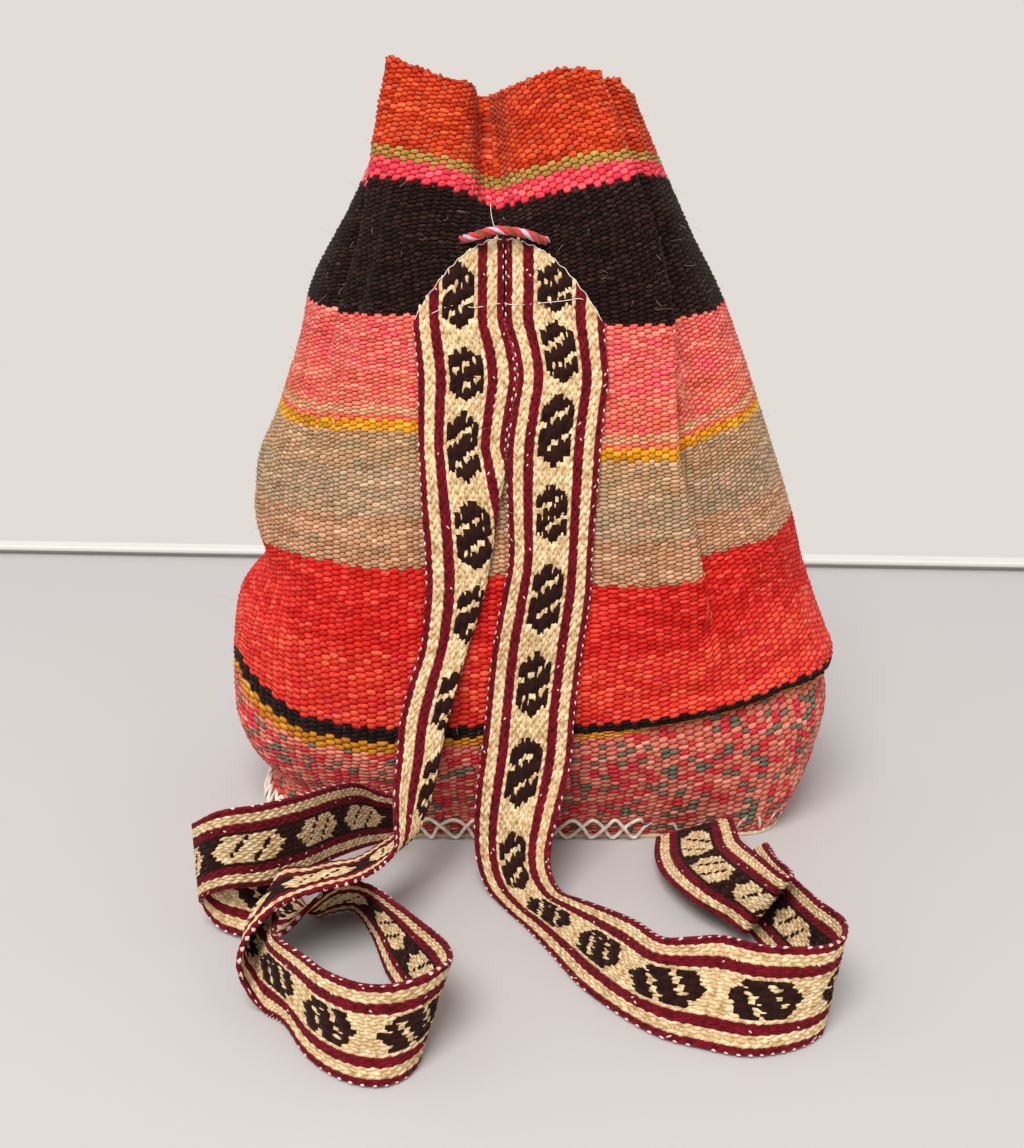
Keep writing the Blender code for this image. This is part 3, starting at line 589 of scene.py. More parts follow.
def weave_band(name, low_stripe, high_stripe, warps, spacing, parts):
    """A ring of the cloth as one closed piece, with its pillows in relief outside."""
    distances, passes = weave_rows(low_stripe, high_stripe)
    columns = warps * parts
    rows = len(distances) - 1
    column = np.arange(columns + 1) / parts
    index = np.zeros((rows + 1, columns + 1))
    for number, distance in enumerate(distances):
        marks, first = warps_across(smooth_points[int(distance)], warps, spacing)
        index[number] = first + np.interp(column, np.arange(warps + 1), marks)
    distance = np.tile(np.array(distances)[:, None], (1, columns + 1))
    lifted = distance + from_grid(weave_lift, distance, index)
    index += from_grid(weave_drift, distance, index)
    outer = from_grid(smooth_points, lifted, index)
    ways = from_grid(smooth_ways, lifted, index)
    ways /= np.linalg.norm(ways, axis=2)[:, :, None]
    inner = outer - ways * CLOTH_THICKNESS
    relief = np.array([pillows(column, weft_pass, warps) for weft_pass in passes])
    outer += ways * PILLOW_HEIGHT * (relief[:, :, None] - 0.5)
    if high_stripe == len(STRIPES):
        scallops = np.random.default_rng(9).uniform(0.3, 1.8, warps + 1)
        scallops = (scallops[np.floor(column).astype(int)]
                    * (1 - 4 * (column % 1 - 0.5) ** 2))
        outer[-1, :, 2] += scallops
        outer[-2, :, 2] += 0.6 * scallops
        inner[-1, :, 2] += scallops
    outer[:, -1] = outer[:, 0]
    inner[:, -1] = inner[:, 0]

    def face_place(sheet):
        def place(across, along):
            return sheet[np.rint(along * rows).astype(int),
                         np.rint(across * columns).astype(int)]
        return place

    bm = bmesh.new()
    verts = []
    start, end = passes[0], passes[-1]
    faces = (face_place(inner), face_place(outer))
    for grid_rows, place, first_pass, last_pass in (
            (rows, faces[1], start, end), (max(2, rows // 12), faces[0], start, end),
            (1, rim_place(faces, False, 0), start, start + 0.4),
            (1, rim_place(faces, False, 1), end - 0.4, end - 0.1)):
        made = bend_grid(bm, columns, grid_rows, place)
        uv_map = bm.loops.layers.uv["weave"]
        for face in {face for vert in made for face in vert.link_faces}:
            for loop in face.loops:
                across, along = loop[uv_map].uv
                loop[uv_map].uv = (across * warps,
                                   first_pass + (last_pass - first_pass) * along)
        verts += made
    bmesh.ops.remove_doubles(bm, verts=verts, dist=0.001 * MM)
    bmesh.ops.recalc_face_normals(bm, faces=bm.faces)
    piece = add_piece(name, bm, [cloth])
    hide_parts("body_cloth")
    return piece


# Hand-spun wool, dyed in the yarn: matt, uneven in colour from pillow to pillow. Painted
# highlights and shade streak its slanting fibres, and painted shade makes the colour darker
# and deeper towards each pillow's rim, where the weft turns under.
WARP_SPACING = 4.1
PASS_SPACING = 2.4
cloth = new_material("handspun_wool_cloth", {
    "Roughness": 0.95, "Sheen Weight": 0.05, "Sheen Roughness": 0.5,
    "Specular IOR Level": 0.06})
weave_uv = add_node(cloth, "UVMap", uv_map="weave")
weave = add_node(cloth, "SeparateXYZ", {0: weave_uv})
warp_number = add_node(cloth, "Math", {0: weave.outputs[0]}, operation="FLOOR")
odd_warp = add_node(cloth, "Math", {0: warp_number, 1: 2.0}, operation="FLOORED_MODULO")
warp_part = add_node(cloth, "Math", {0: weave.outputs[0]}, operation="FRACT")
across = add_node(cloth, "Math", {0: warp_part, 1: 0.5}, operation="SUBTRACT")
shifted = add_node(cloth, "Math", {0: odd_warp, 1: 0.5, 2: weave.outputs[1]},
                   operation="MULTIPLY_ADD")
slanted = add_node(cloth, "Math", {0: across, 1: -PILLOW_SLANT, 2: shifted},
                   operation="MULTIPLY_ADD")
pass_number = add_node(cloth, "Math", {0: slanted}, operation="FLOOR")
pass_part = add_node(cloth, "Math", {0: slanted}, operation="FRACT")
along = add_node(cloth, "Math", {0: pass_part, 1: 0.5}, operation="SUBTRACT")
pillow_at = add_node(cloth, "CombineXYZ", {0: warp_number, 1: pass_number})
pillow_random = add_node(cloth, "TexWhiteNoise", {0: pillow_at}, noise_dimensions="3D")
randoms = add_node(cloth, "SeparateXYZ", {0: pillow_random.outputs["Color"]})

# Which stripe a pillow is in, and that stripe's yarns
pass_count = sum(stripe[2] for stripe in STRIPES)
stripe_place = add_node(cloth, "Math", {0: pass_number, 1: 1 / pass_count,
                                        2: 0.25 / pass_count}, operation="MULTIPLY_ADD")


def stripe_ramp(yarn):
    """A ramp with one flat colour for each stripe, that of its yarn of this number."""
    stops = []
    passed = 0
    for stripe in STRIPES:
        stops.append((passed / pass_count, stripe[3].split()[yarn]))
        passed += stripe[2]
    ramp = add_node(cloth, "ValToRGB", {0: stripe_place})
    finish_ramp(ramp, stops, "CONSTANT")
    return ramp


yarns = [stripe_ramp(yarn) for yarn in range(5)]
along_yarn = add_node(cloth, "Mapping", {0: pillow_at, "Scale": (0.09, 7.31, 1.0)})
yarn_drift = add_node(cloth, "TexNoise", {"Vector": along_yarn, "Scale": 1.0, "Detail": 2.0})
drift = add_node(cloth, "Math", {0: yarn_drift, 1: 1.6, 2: -0.5}, operation="MULTIPLY_ADD")
mixed = add_node(cloth, "Math", {0: randoms.outputs[0], 1: 0.38, 2: drift},
                 operation="MULTIPLY_ADD")
low_mix = add_node(cloth, "MapRange", {0: mixed, 1: 0.0, 2: 0.5})
high_mix = add_node(cloth, "MapRange", {0: mixed, 1: 0.5, 2: 1.0})
darker = add_node(cloth, "Mix", {0: low_mix, 6: yarns[0], 7: yarns[1]}, data_type="RGBA")
yarn_colour = add_node(cloth, "Mix", {0: high_mix, 6: darker.outputs[2], 7: yarns[2]},
                       data_type="RGBA")
for number, stray_yarn in enumerate(yarns[3:], 1):
    for element, stripe in zip(stray_yarn.color_ramp.elements, STRIPES):
        element.color[3] = stripe[3 + number]
    is_stray = add_node(cloth, "Math", {0: randoms.outputs[number], 1: stray_yarn.outputs[1]},
                        operation="LESS_THAN")
    yarn_colour = add_node(cloth, "Mix", {0: is_stray, 6: yarn_colour.outputs[2],
                                          7: stray_yarn}, data_type="RGBA")

# Fibres, spun at a slant to the yarn, which differ on each pillow
in_mm = add_node(cloth, "Mapping", {0: weave_uv, "Rotation": (0, 0, math.radians(-34)),
                                    "Scale": (WARP_SPACING, PASS_SPACING, 1.0)})
stretched = add_node(cloth, "Mapping", {0: in_mm, "Scale": (0.32, 1.9, 1.0)})
own_place = add_node(cloth, "VectorMath", {0: pillow_random.outputs["Color"],
                                           1: (40.0, 40.0, 40.0), 2: stretched},
                     operation="MULTIPLY_ADD")
fibres = add_node(cloth, "TexNoise", {"Vector": own_place, "Scale": 1.0, "Detail": 4.0,
                                      "Roughness": 0.62})
# Painted highlights and shade: the fibres lighten and darken the colour in slanting streaks
fibre_tone = add_node(cloth, "MapRange", {0: fibres, 1: 0.3, 2: 0.7, 3: 1.3, 4: 0.66})
# How far a point is from the middle of its pillow, 1 at its rim
across_square = add_node(cloth, "Math", {0: across, 1: 2.0}, operation="POWER")
along_square = add_node(cloth, "Math", {0: along, 1: 2.0}, operation="POWER")
across_share = add_node(cloth, "Math", {0: across_square, 1: 2.7}, operation="MULTIPLY")
from_middle = add_node(cloth, "Math", {0: along_square, 1: 4.7, 2: across_share},
                       operation="MULTIPLY_ADD")
# Painted shade: through its gamma, the yarn's colour turns darker and deeper towards each
# pillow's rim
rim = add_node(cloth, "MapRange", {0: from_middle, 1: 0.6, 2: 1.25, 3: 0.0, 4: 1.0},
               interpolation_type="SMOOTHSTEP")
painted_shade_and_highlight = add_node(cloth, "Math", {0: rim, 1: 1.15, 2: fibre_tone}, operation="MULTIPLY_ADD")
shaded = add_node(cloth, "Gamma", {0: yarn_colour.outputs[2], 1: painted_shade_and_highlight})
rounded = add_node(cloth, "MapRange", {0: from_middle, 1: 0.0, 2: 1.4, 3: 1.0, 4: 0.0},
                   interpolation_type="SMOOTHSTEP")
raised = add_node(cloth, "Math", {0: fibres, 1: 0.7, 2: rounded}, operation="MULTIPLY_ADD")
finish_material(cloth, shaded.outputs[0], raised, 0.75, 0.0007)

# The one cloth, made in three rings that meet at stripe borders: the stripes of each, its
# warps, how far apart they are in front, and the mesh columns for each warp
lower_cloth = weave_band("cloth_lower", 0, 5, 176, WARP_SPACING, 3)
middle_cloth = weave_band("cloth_middle", 5, 13, 190, 3.15, 2)
upper_cloth = weave_band("cloth_upper", 13, 17, 142, 3.3, 2)


# ---- Base panel ----
# A cream cotton panel closes the bag below, and is stitched to the cloth all round.
PANEL_THICKNESS = 2.4
PANEL_ROUNDING = 0.8
bm = bmesh.new()
outline = closed_outline(LEVELS[0][2])[::15]
panel_corners = [bm.verts.new(Vector((x, y, 0)) * MM) for x, y, z in outline]
face = bm.faces.new(panel_corners)
bmesh.ops.recalc_face_normals(bm, faces=[face])
made = bmesh.ops.extrude_face_region(bm, geom=[face])
top = [item for item in made["geom"] if isinstance(item, bmesh.types.BMVert)]
bmesh.ops.translate(bm, verts=top, vec=(0, 0, PANEL_THICKNESS * MM))
bmesh.ops.recalc_face_normals(bm, faces=bm.faces)
rims = [edge for edge in bm.edges if edge.calc_face_angle(0) > 1.2]
bmesh.ops.bevel(bm, geom=rims, offset=PANEL_ROUNDING * MM, offset_type="OFFSET", segments=2,
                profile=0.5, affect="EDGES", material=-1)

# Plain cotton canvas, unbleached: matt, with crossed threads coarse enough to show
cotton = new_material("woven_cotton_canvas", {
    "Roughness": 0.95, "Sheen Weight": 0.2, "Specular IOR Level": 0.2})
place_on = add_node(cotton, "TexCoord").outputs["Object"]
threads = []
for direction in ("X", "Y"):
    threads.append(add_node(cotton, "TexWave", {"Vector": place_on, "Scale": 140.0,
                                                "Distortion": 0.6, "Detail": 1.0},
                            bands_direction=direction))
canvas = add_node(cotton, "Math", {0: threads[0], 1: threads[1]}, operation="MULTIPLY")
canvas_colour = add_node(cotton, "ValToRGB", {0: canvas})
finish_ramp(canvas_colour, ((0.0, "#C9B592"), (1.0, "#EBDDC0")))
finish_material(cotton, canvas_colour.outputs[0], canvas, 0.5, 0.0004)
base_panel = add_piece("base_panel_cotton", bm, [cotton], smooth=False)
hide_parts("base_panel")


# ---- Base stitching ----
# White wool thread goes twice round the seam in crossed stitches, over the cloth's lower
# edge and into the panel.
THREAD_RADIUS = 0.9
THREAD_STEP = 0.9
STITCH_HEIGHT = 13.0
STITCH_COUNT = 28
# Between these shares of the way round, the thread sinks this far into the wool
STITCHES_SUNK = (0.395, 0.61)
STITCH_SINK = 3.2


def at_share(row, outward, share):
    """Point and outward direction at a share of the way round from the left side."""
    index = int(round(share * DENSE)) % DENSE
    return row[index], outward[index]


stitch_random = random.Random(12)
legs = STITCH_COUNT * 2
thread_rows = [cloth_row(distance) for distance in (0.2, 7.0, STITCH_HEIGHT)]
stitch_route = []
for turn in range(2):
    for step in range(legs * 2):
        level = 1 if step % 2 else (0 if (step // 2 + turn) % 2 else 2)
        share = step / (legs * 2)
        stand_off = 0.3 + THREAD_RADIUS * (1.3 if level != 1 else 1.3 + 1.4 * turn)
        if STITCHES_SUNK[0] < share < STITCHES_SUNK[1]:
            stand_off -= STITCH_SINK
        share += stitch_random.uniform(-0.002, 0.002)
        point, way = at_share(*thread_rows[level], share)
        point = point + way * stand_off
        if level == 0:
            point[2] = 0.5 * PANEL_THICKNESS
        stitch_route.append(point)
stitch_path = even_path(stitch_route, THREAD_STEP)
bm = bmesh.new()
twisted_tube(bm, stitch_path, THREAD_RADIUS, 2, 0.18, 3.4, 8, THREAD_STEP)

# Undyed two-ply wool: matt and soft, greyed in patches by handling
white_wool = new_material("plied_white_wool_thread", {
    "Roughness": 0.9, "Sheen Weight": 0.4, "Specular IOR Level": 0.2})
finish_material(white_wool, uneven_dye(white_wool, 300.0, 2.0, 0.5,
                                       ((0.3, "#CFC2AE"), (0.7, "#F4ECDF"))))
stitching = add_piece("base_stitching_thread", bm, [white_wool])
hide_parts("base_stitching")


# ---- Straps ----
# Two hand-woven bands, sewn side by side to the cloth under the neck, and into the base
# seam. Warp yarns cover them in slanting columns: maroon and cream stripes, and a cream
# field with dark stepped lozenges that are cream on dark on the far face.
CORE_THICKNESS = 1.2
FOLD_RADIUS = 1.9
FOLD_START_Z = 200.0
FOLD_GROWTH = 12.0
STRAP_TOP_Z = 286.0
# The arched top of a strap: how far its inner edge drops, and how steeply
STRAP_ARCH_DROP = 35.02
STRAP_ARCH_POWER = 2.1
STRAP_LIFT = 1.8
YARN_KINDS = ("maroon", "cream", "dark", "white")
YARN_LENGTH = 4.4
YARN_SLANT = 0.24
# How far a yarn may stray, as a share of the strap's width
YARN_STRAY = 0.004
DARK_YARN_LENGTH = 7.0
# The lozenges are searched in these steps, and the yarns are laid in blocks this long
DARK_STEP = 0.25
BLOCK_LENGTH = 60.0
CREAM_TICK_SHARE = 0.5
WHITE_FLECK_SHARE = 0.06
SELVEDGE_FLECK_SHARE = 0.75
# Straps against the cloth: height, and the edges' places across, with a fold between them
# from where the left strap turns over. Then the runs: each row's edges, with any fold
LEFT_ROWS = ((252, -49, -9.6), (240, -48, -6.0), (228, -47, -4.4), (215, -47, -6.6),
             (200, -47, -8.8), (194, -46.6, -9.4, -9.6), (188, -46.3, -10, -10.4),
             (182, -46, -11, -14), (177, -45.8, -12, -17.5), (171, -45.5, -13, -21),
             (157, -44.5, -15, -26), (141, -44, -18, -33), (126, -45, -22, -39),
             (110, -47, -27, -44))
RIGHT_ROWS = ((252, -8.8, 34), (240, -5.2, 35), (228, -3.6, 36), (215, -5.8, 34.5),
              (200, -8.0, 33), (184, -8.4, 32), (171, -8.0, 31), (150, -7.5, 29.5),
              (134, -10.5, 29), (112, -14.5, 26), (95, -16.5, 24))
LEFT_RUN = (
    ((-52, -98, 96), (-31, -96, 96), (-50, -91.5, 96)),
    ((-56, -103, 81), (-36, -100, 79), (-55, -93.5, 79)),
    ((-57, -111, 68), (-39, -104, 64), (-57, -95, 62)),
    ((-58, -121, 57), (-42, -109, 51), (-56, -96, 46)),
    ((-57, -134, 48), (-45, -114, 42), (-53, -98, 37)),
    ((-56, -147, 42), (-50, -126, 37), (-55, -109, 33)),
    ((-61, -161, 41), (-61, -140, 36), (-62, -120, 31)),
    ((-70, -174, 42), (-73, -134, 30)),
    ((-81, -180, 42), (-84, -140, 31)),
    ((-92, -187, 42), (-93, -146, 32)),
    ((-101, -196, 41), (-103, -153, 35)),
    ((-109, -206, 36), (-110, -178, 31), (-104, -164, 32)),
    ((-113, -208, 24), (-112, -183, 22), (-101, -180, 31)),
    ((-110, -206, 10), (-109, -187, 16), (-100, -195, 33)),
    ((-104, -206, 1), (-104, -199, 19), (-97, -208, 37)),
    ((-95, -213, 1), (-85, -226, 41)),
    ((-83, -234, 1), (-75, -237, 41)),
    ((-69, -247, 1), (-62, -245, 41)),
    ((-56, -251, 1), (-50, -246, 41)),
    ((-47, -247, 1), (-39, -241, 41)),
    ((-42, -238, 1), (-32, -232, 40)),
    ((-42, -226, 1), (-29, -223, 38)),
    ((-48, -202, 1), (-32, -208, 35)),
    ((-58, -177, 1), (-42, -191, 33)),
    ((-66, -150, 1), (-53, -174, 31)),
    ((-76, -129, 1), (-67, -157, 30)),
    ((-86, -130, 1), (-79, -154, 29)),
    ((-94, -133, 1), (-90, -164, 25)),
    ((-102, -125, 7), (-101, -164, 12)),
    ((-111, -124, 22), (-112, -157, 3)),
    ((-122, -137, 40), (-122, -152, 2)),
    ((-133, -137, 43), (-133, -146, 3)),
    ((-141, -143, 51), (-141, -140, 10)),
    ((-137, -155, 59), (-139, -148, 18)),
    ((-131, -161, 65), (-134, -154, 24)),
    ((-123, -162, 68), (-125, -156, 28)),
    ((-111, -156, 67), (-112, -150, 26)),
    ((-97, -142, 64), (-98, -135, 23)),
    ((-86, -121, 58), (-87, -113, 18)),
    ((-77, -101, 50), (-77, -91, 11)),
    ((-69, -89, 40), (-68, -74, 5)),
    ((-60, -88, 37), (-58, -67, 4)),
)
RIGHT_RUN = (
    ((-18, -95.5, 80), (22, -95.5, 80)),
    ((-20, -100, 63), (21, -99, 63)),
    ((-22, -104, 48), (18, -106, 50)),
    ((-23, -103, 30), (14, -118, 40)),
    ((-22, -106, 14), (11, -124, 29)),
    ((-17, -114, 3), (11, -137, 25)),
    ((-8, -129, 1), (15, -153, 25)),
    ((1, -144, 1), (22, -166, 29)),
    ((11, -164, 1), (32, -180, 33)),
    ((22, -187, 1), (43, -196, 37)),
    ((37, -207, 1), (52, -213, 40)),
    ((51, -221, 1), (63, -216, 42)),
    ((66, -228, 1), (75, -215, 42)),
    ((82, -233, 1), (88, -221, 42)),
    ((96, -231, 1), (103, -223, 42)),
    ((108, -225, 1), (115, -221, 42)),
    ((115, -216, 1), (122, -212, 41)),
    ((115, -200, 1), (124, -199, 40)),
    ((105, -170, 1), (118, -180, 37)),
    ((93, -134, 1), (113, -150, 31)),
    ((87, -114, 1), (110, -129, 28)),
    ((85, -107, 3), (108, -122, 30)),
    ((85, -113, 6), (106, -128, 33)),
    ((88, -132, 6), (107, -146, 37)),
    ((94, -151, 6), (110, -165, 41)),
    ((92, -160, 9), (107, -173, 43)),
    ((85, -152, 11), (103, -164, 42)),
    ((73, -138, 11), (101, -149, 38)),
    ((63, -114, 9), (98, -126, 31)),
    ((61, -92, 6), (99, -99, 20)),
    ((63, -73, 4), (99, -79, 19)),
    ((64, -67, 3.5), (98, -72, 17)),
)
# Yarn columns across a strap: kind and width
STRAP_COLUMNS = ((("maroon", 1.5),) * 2 + (("cream", 1.7),) * 3 + (("maroon", 1.5),) * 3
                 + (("field", 1.55),) * 12 + (("maroon", 1.5),) * 3
                 + (("cream", 1.7),) * 3 + (("maroon", 1.5),) * 2)
LAST_COLUMN = 27
# The two columns that edge the field, and the first of the pairs between them
FIELD_EDGES = (8, 19)
FIRST_PAIR = 9
MOTIF_HALF_LENGTH = 16.6
MOTIF_HALF_WIDTH = 8.0
# The lozenges down each strap: the middle and the half length of each. They go on evenly
# past the last of these, a long one after a short one.
MOTIF_SPACING = 39
MOTIFS_END = 800
LEFT_MOTIFS = [(25, 15), (59, 12.5), (91, 16.6), (130, 16), (166, 14), (206, 16.6)]
RIGHT_MOTIFS = [(21, 11), (49, 14), (83, 17), (120, 13.5), (158, 17), (198, 15.5),
                (238, 17), (280, 16)]
for motifs in (LEFT_MOTIFS, RIGHT_MOTIFS):
    while motifs[-1][0] < MOTIFS_END:
        motifs.append((motifs[-1][0] + MOTIF_SPACING, 15 if len(motifs) % 2 else 17))

column_edges = np.concatenate([[0], np.cumsum([width for kind, width in STRAP_COLUMNS])])
strap_width = column_edges[-1]
column_edges /= strap_width
column_middles = 0.5 * (column_edges[1:] + column_edges[:-1])

# The smooth cloth that the straps rest on
rest_rows = [cloth_row(distance)[0][::6] for distance in np.arange(60, 376, 3.0)]
rest_points = [Vector(point) for row in rest_rows for point in row]
row_length = DENSE // 6
rest_faces = [(r * row_length + c, r * row_length + (c + 1) % row_length,
               (r + 1) * row_length + (c + 1) % row_length, (r + 1) * row_length + c)
              for r in range(len(rest_rows) - 1) for c in range(row_length)]
cloth_tree = BVHTree.FromPolygons(rest_points, rest_faces)


def on_cloth(x, z, fold_radii):
    """Where a point of a strap's middle surface rests in front of the cloth."""
    hit = cloth_tree.ray_cast(Vector((x, -200, z)), Vector((0, 1, 0)))[0]
    return np.array((x, hit.y - STRAP_LIFT - fold_radii * FOLD_RADIUS, z))


def point_across(station, share):
    """Point at a share of the strap's width. A fold in it turns on the fold radius."""
    points = [np.array(point, float) for point in station]
    if len(points) == 3:
        edge_a, fold, edge_b = points
        inward = 0.5 * (edge_a + edge_b) - fold
        inward /= np.linalg.norm(inward)
        apart = (edge_a - edge_b) - inward * inward.dot(edge_a - edge_b)
        apart = apart * min(0.5, FOLD_RADIUS / np.linalg.norm(apart))
        points = [edge_a, fold + apart, fold - apart, edge_b]
    steps = [np.linalg.norm(end - start) for start, end in zip(points, points[1:])]
    place = share * sum(steps)
    for start, end, step in zip(points, points[1:], steps):
        if place <= step:
            return start + (end - start) * (place / step)
        place -= step
    return points[-1]


def strap_surface(rows, run):
    """The strap's middle surface: points by row and share, and each row's distance."""
    top_edges = rows[0][1:]
    stations = []
    for row in [(height, *top_edges) for height in (STRAP_TOP_Z + 1, 276, 264)] + list(rows):
        if len(row) == 3:
            height, edge_a, edge_b = row
            stations.append([on_cloth(edge_a + (edge_b - edge_a) * share, height, 0)
                             for share in column_edges])
        else:
            height, edge_a, fold, edge_b = row
            grown = min(1.0, (FOLD_START_Z - height) / FOLD_GROWTH)
            corners = [on_cloth(edge_a, height, 2 * grown), on_cloth(fold, height, grown),
                       on_cloth(edge_b, height, 0)]
            stations.append([point_across(corners, share) for share in column_edges])
    for station in run:
        stations.append([point_across(station, share) for share in column_edges])
    stations = np.array(stations)
    last = len(stations) - 1
    middle = len(column_edges) // 2
    surface = []
    for index in range(last):
        near = [stations[min(max(index + step, 0), last)] for step in (-1, 0, 1, 2)]
        length = np.linalg.norm(near[2][middle] - near[1][middle])
        parts = max(1, round(length / 1.5))
        surface += [catmull(*near, part / parts) for part in range(parts)]
    surface = np.array(surface + [stations[-1]])
    steps = np.linalg.norm(np.diff(surface[:, middle], axis=0), axis=1)
    return surface, np.concatenate([[0], np.cumsum(steps)])


def on_strap(surface, distances, share, distance, height):
    """Points at shares, distances and heights over the strap's middle surface."""
    row = np.interp(distance, distances, np.arange(len(distances)))
    low = np.clip(np.floor(row).astype(int), 0, len(distances) - 2)
    part = np.clip(row - low, 0, 1)[:, None]
    column = np.interp(share, column_edges, np.arange(len(column_edges)))
    left = np.clip(np.floor(column).astype(int), 0, len(column_edges) - 2)
    over = (column - left)[:, None]
    corners = [surface[low, left], surface[low, left + 1],
               surface[low + 1, left], surface[low + 1, left + 1]]
    upper = corners[0] + (corners[1] - corners[0]) * over
    lower = corners[2] + (corners[3] - corners[2]) * over
    before = np.clip(low - 2, 0, None)
    after = np.clip(low + 3, None, len(distances) - 1)
    along = surface[after, left] - surface[before, left]
    wide_left = np.clip(left - 1, 0, None)
    wide_right = np.clip(left + 2, None, len(column_edges) - 1)
    across = surface[low, wide_right] - surface[low, wide_left]
    way = np.cross(along, across)
    way /= np.linalg.norm(way, axis=1)[:, None]
    return upper + (lower - upper) * part + way * height[:, None]


def in_motif(x, y):
    """True where a lozenge shows dark: a stepped outline with two slanting cream lines."""
    if abs(x) > MOTIF_HALF_WIDTH or abs(y) > MOTIF_HALF_LENGTH - 0.85 * abs(x):
        return False
    for sign in (1, -1):
        line = sign * 5.9 - 0.68 * x
        if abs(y - line) < 0.95 and sign * x > -3.4:
            return False
    return True


def shows_dark(share, distance, motifs, front):
    """Whether the field's dark yarn is on this face of the strap at a place."""
    for middle, half in motifs:
        if abs(distance - middle) <= half:
            y = (distance - middle) * MOTIF_HALF_LENGTH / half
            return in_motif((share - 0.5) * strap_width, y) == front
    return not front


def add_yarn(bm, share, distance, height, width, length, slant, material, rise=0.68):
    """One yarn's oval, still on the flat strap, in millimetres."""
    place = (Matrix.Translation((share * strap_width, distance, height))
             @ Matrix.Rotation(slant, 4, "Z")
             @ Matrix.Diagonal((0.5 * width, 0.5 * length, rise, 1)))
    made = bmesh.ops.create_icosphere(bm, subdivisions=1, radius=1.0, matrix=place)
    for vert in made["verts"]:
        for face in vert.link_faces:
            face.material_index = YARN_KINDS.index(material)


def pair_middle(left):
    """The share of the strap's width at the middle of a pair of columns."""
    return 0.5 * (column_middles[left] + column_middles[left + 1])


def lay_columns(bm, front, start, end, arch, dark_at):
    """The slanting warp yarns of every column between two distances, with their flecks."""
    side = 1 if front else -1
    for number, (kind, width) in enumerate(STRAP_COLUMNS):
        share = column_middles[number]
        odd = number % 2
        slant = YARN_SLANT if odd else -YARN_SLANT
        selvedge = number in (0, LAST_COLUMN)
        for k in itertools.count(math.ceil(start / YARN_LENGTH - 0.5 * odd)):
            distance = (k + 0.5 * odd) * YARN_LENGTH
            if distance >= end:
                break
            if distance < arch(share) + 0.5:
                continue
            material = "cream" if kind == "field" else kind
            if number in FIELD_EDGES:
                material = "cream" if front else "dark"
            elif kind == "field":
                left = number - (number - FIRST_PAIR) % 2
                if dark_at(pair_middle(left), distance):
                    continue
            add_yarn(bm, share + random.uniform(-YARN_STRAY, YARN_STRAY), distance, side * 0.5,
                     width * random.uniform(1.1, 1.24),
                     YARN_LENGTH * random.uniform(1.05, 1.32),
                     slant + random.uniform(-0.08, 0.08), material)
            if not selvedge and kind == "maroon" and random.random() < WHITE_FLECK_SHARE:
                edge = column_edges[number + (0 if number <= LAST_COLUMN / 2 else 1)]
                add_yarn(bm, edge, distance + random.uniform(0.5, 2.5), side * 0.6, 0.8,
                         random.uniform(1.6, 2.6), -3 * slant, "white", 0.55)
            if front and selvedge and random.random() < SELVEDGE_FLECK_SHARE:
                outside = -0.003 if number == 0 else 1.003
                add_yarn(bm, outside, distance + 0.5 * YARN_LENGTH, 0.3,
                         random.uniform(1.6, 2.1), random.uniform(2.3, 3.2), -2 * slant,
                         "white", 0.95)


def lay_dark_yarns(bm, front, start, end, length, arch, dark_at):
    """The straight dark yarns between two distances, each over a pair of field columns."""
    side = 1 if front else -1
    for left in range(FIRST_PAIR, FIELD_EDGES[1], 2):
        share = pair_middle(left)
        place = start
        while place < end:
            if not dark_at(share, place) or place < arch(share):
                place += DARK_STEP
                continue
            stop = place
            while dark_at(share, stop) and stop < length:
                stop += DARK_STEP
            count = max(1, round((stop - place) / DARK_YARN_LENGTH))
            step = (stop - place) / count
            for k in range(count):
                if front and random.random() < CREAM_TICK_SHARE:
                    add_yarn(bm, column_edges[left], place + k * step + 2.0, side * 0.7, 0.8,
                             random.uniform(2.0, 3.8), 0.0, "cream", 0.6)
                add_yarn(bm, share + random.uniform(-YARN_STRAY, YARN_STRAY),
                         place + (k + 0.5) * step, side * 0.52, random.uniform(3.3, 3.8),
                         step * random.uniform(1.04, 1.2), random.uniform(-0.12, 0.12),
                         "dark", 0.75)
            place = stop


def strap_yarns(name, surface, distances, motifs, front, arch, start):
    """All yarns on one face of a strap. arch(share) is where the strap's top is cut."""
    random.seed(7 if front else 8)
    total = bmesh.new()
    length = distances[-1]

    def dark_at(share, distance):
        return shows_dark(share, distance, motifs, front)

    while start < length - 1:
        end = min(start + BLOCK_LENGTH, length - 0.5)
        bm = bmesh.new()
        lay_columns(bm, front, start, end, arch, dark_at)
        lay_dark_yarns(bm, front, start, end, length, arch, dark_at)
        points = np.array([vert.co for vert in bm.verts])
        placed = on_strap(surface, distances, points[:, 0] / strap_width, points[:, 1],
                          points[:, 2])
        for vert, point in zip(bm.verts, placed):
            vert.co = point * MM
        block = bpy.data.meshes.new("block")
        bm.to_mesh(block)
        bm.free()
        total.from_mesh(block)
        bpy.data.meshes.remove(block)
        start = end
    return add_piece(name, total, strap_wools)


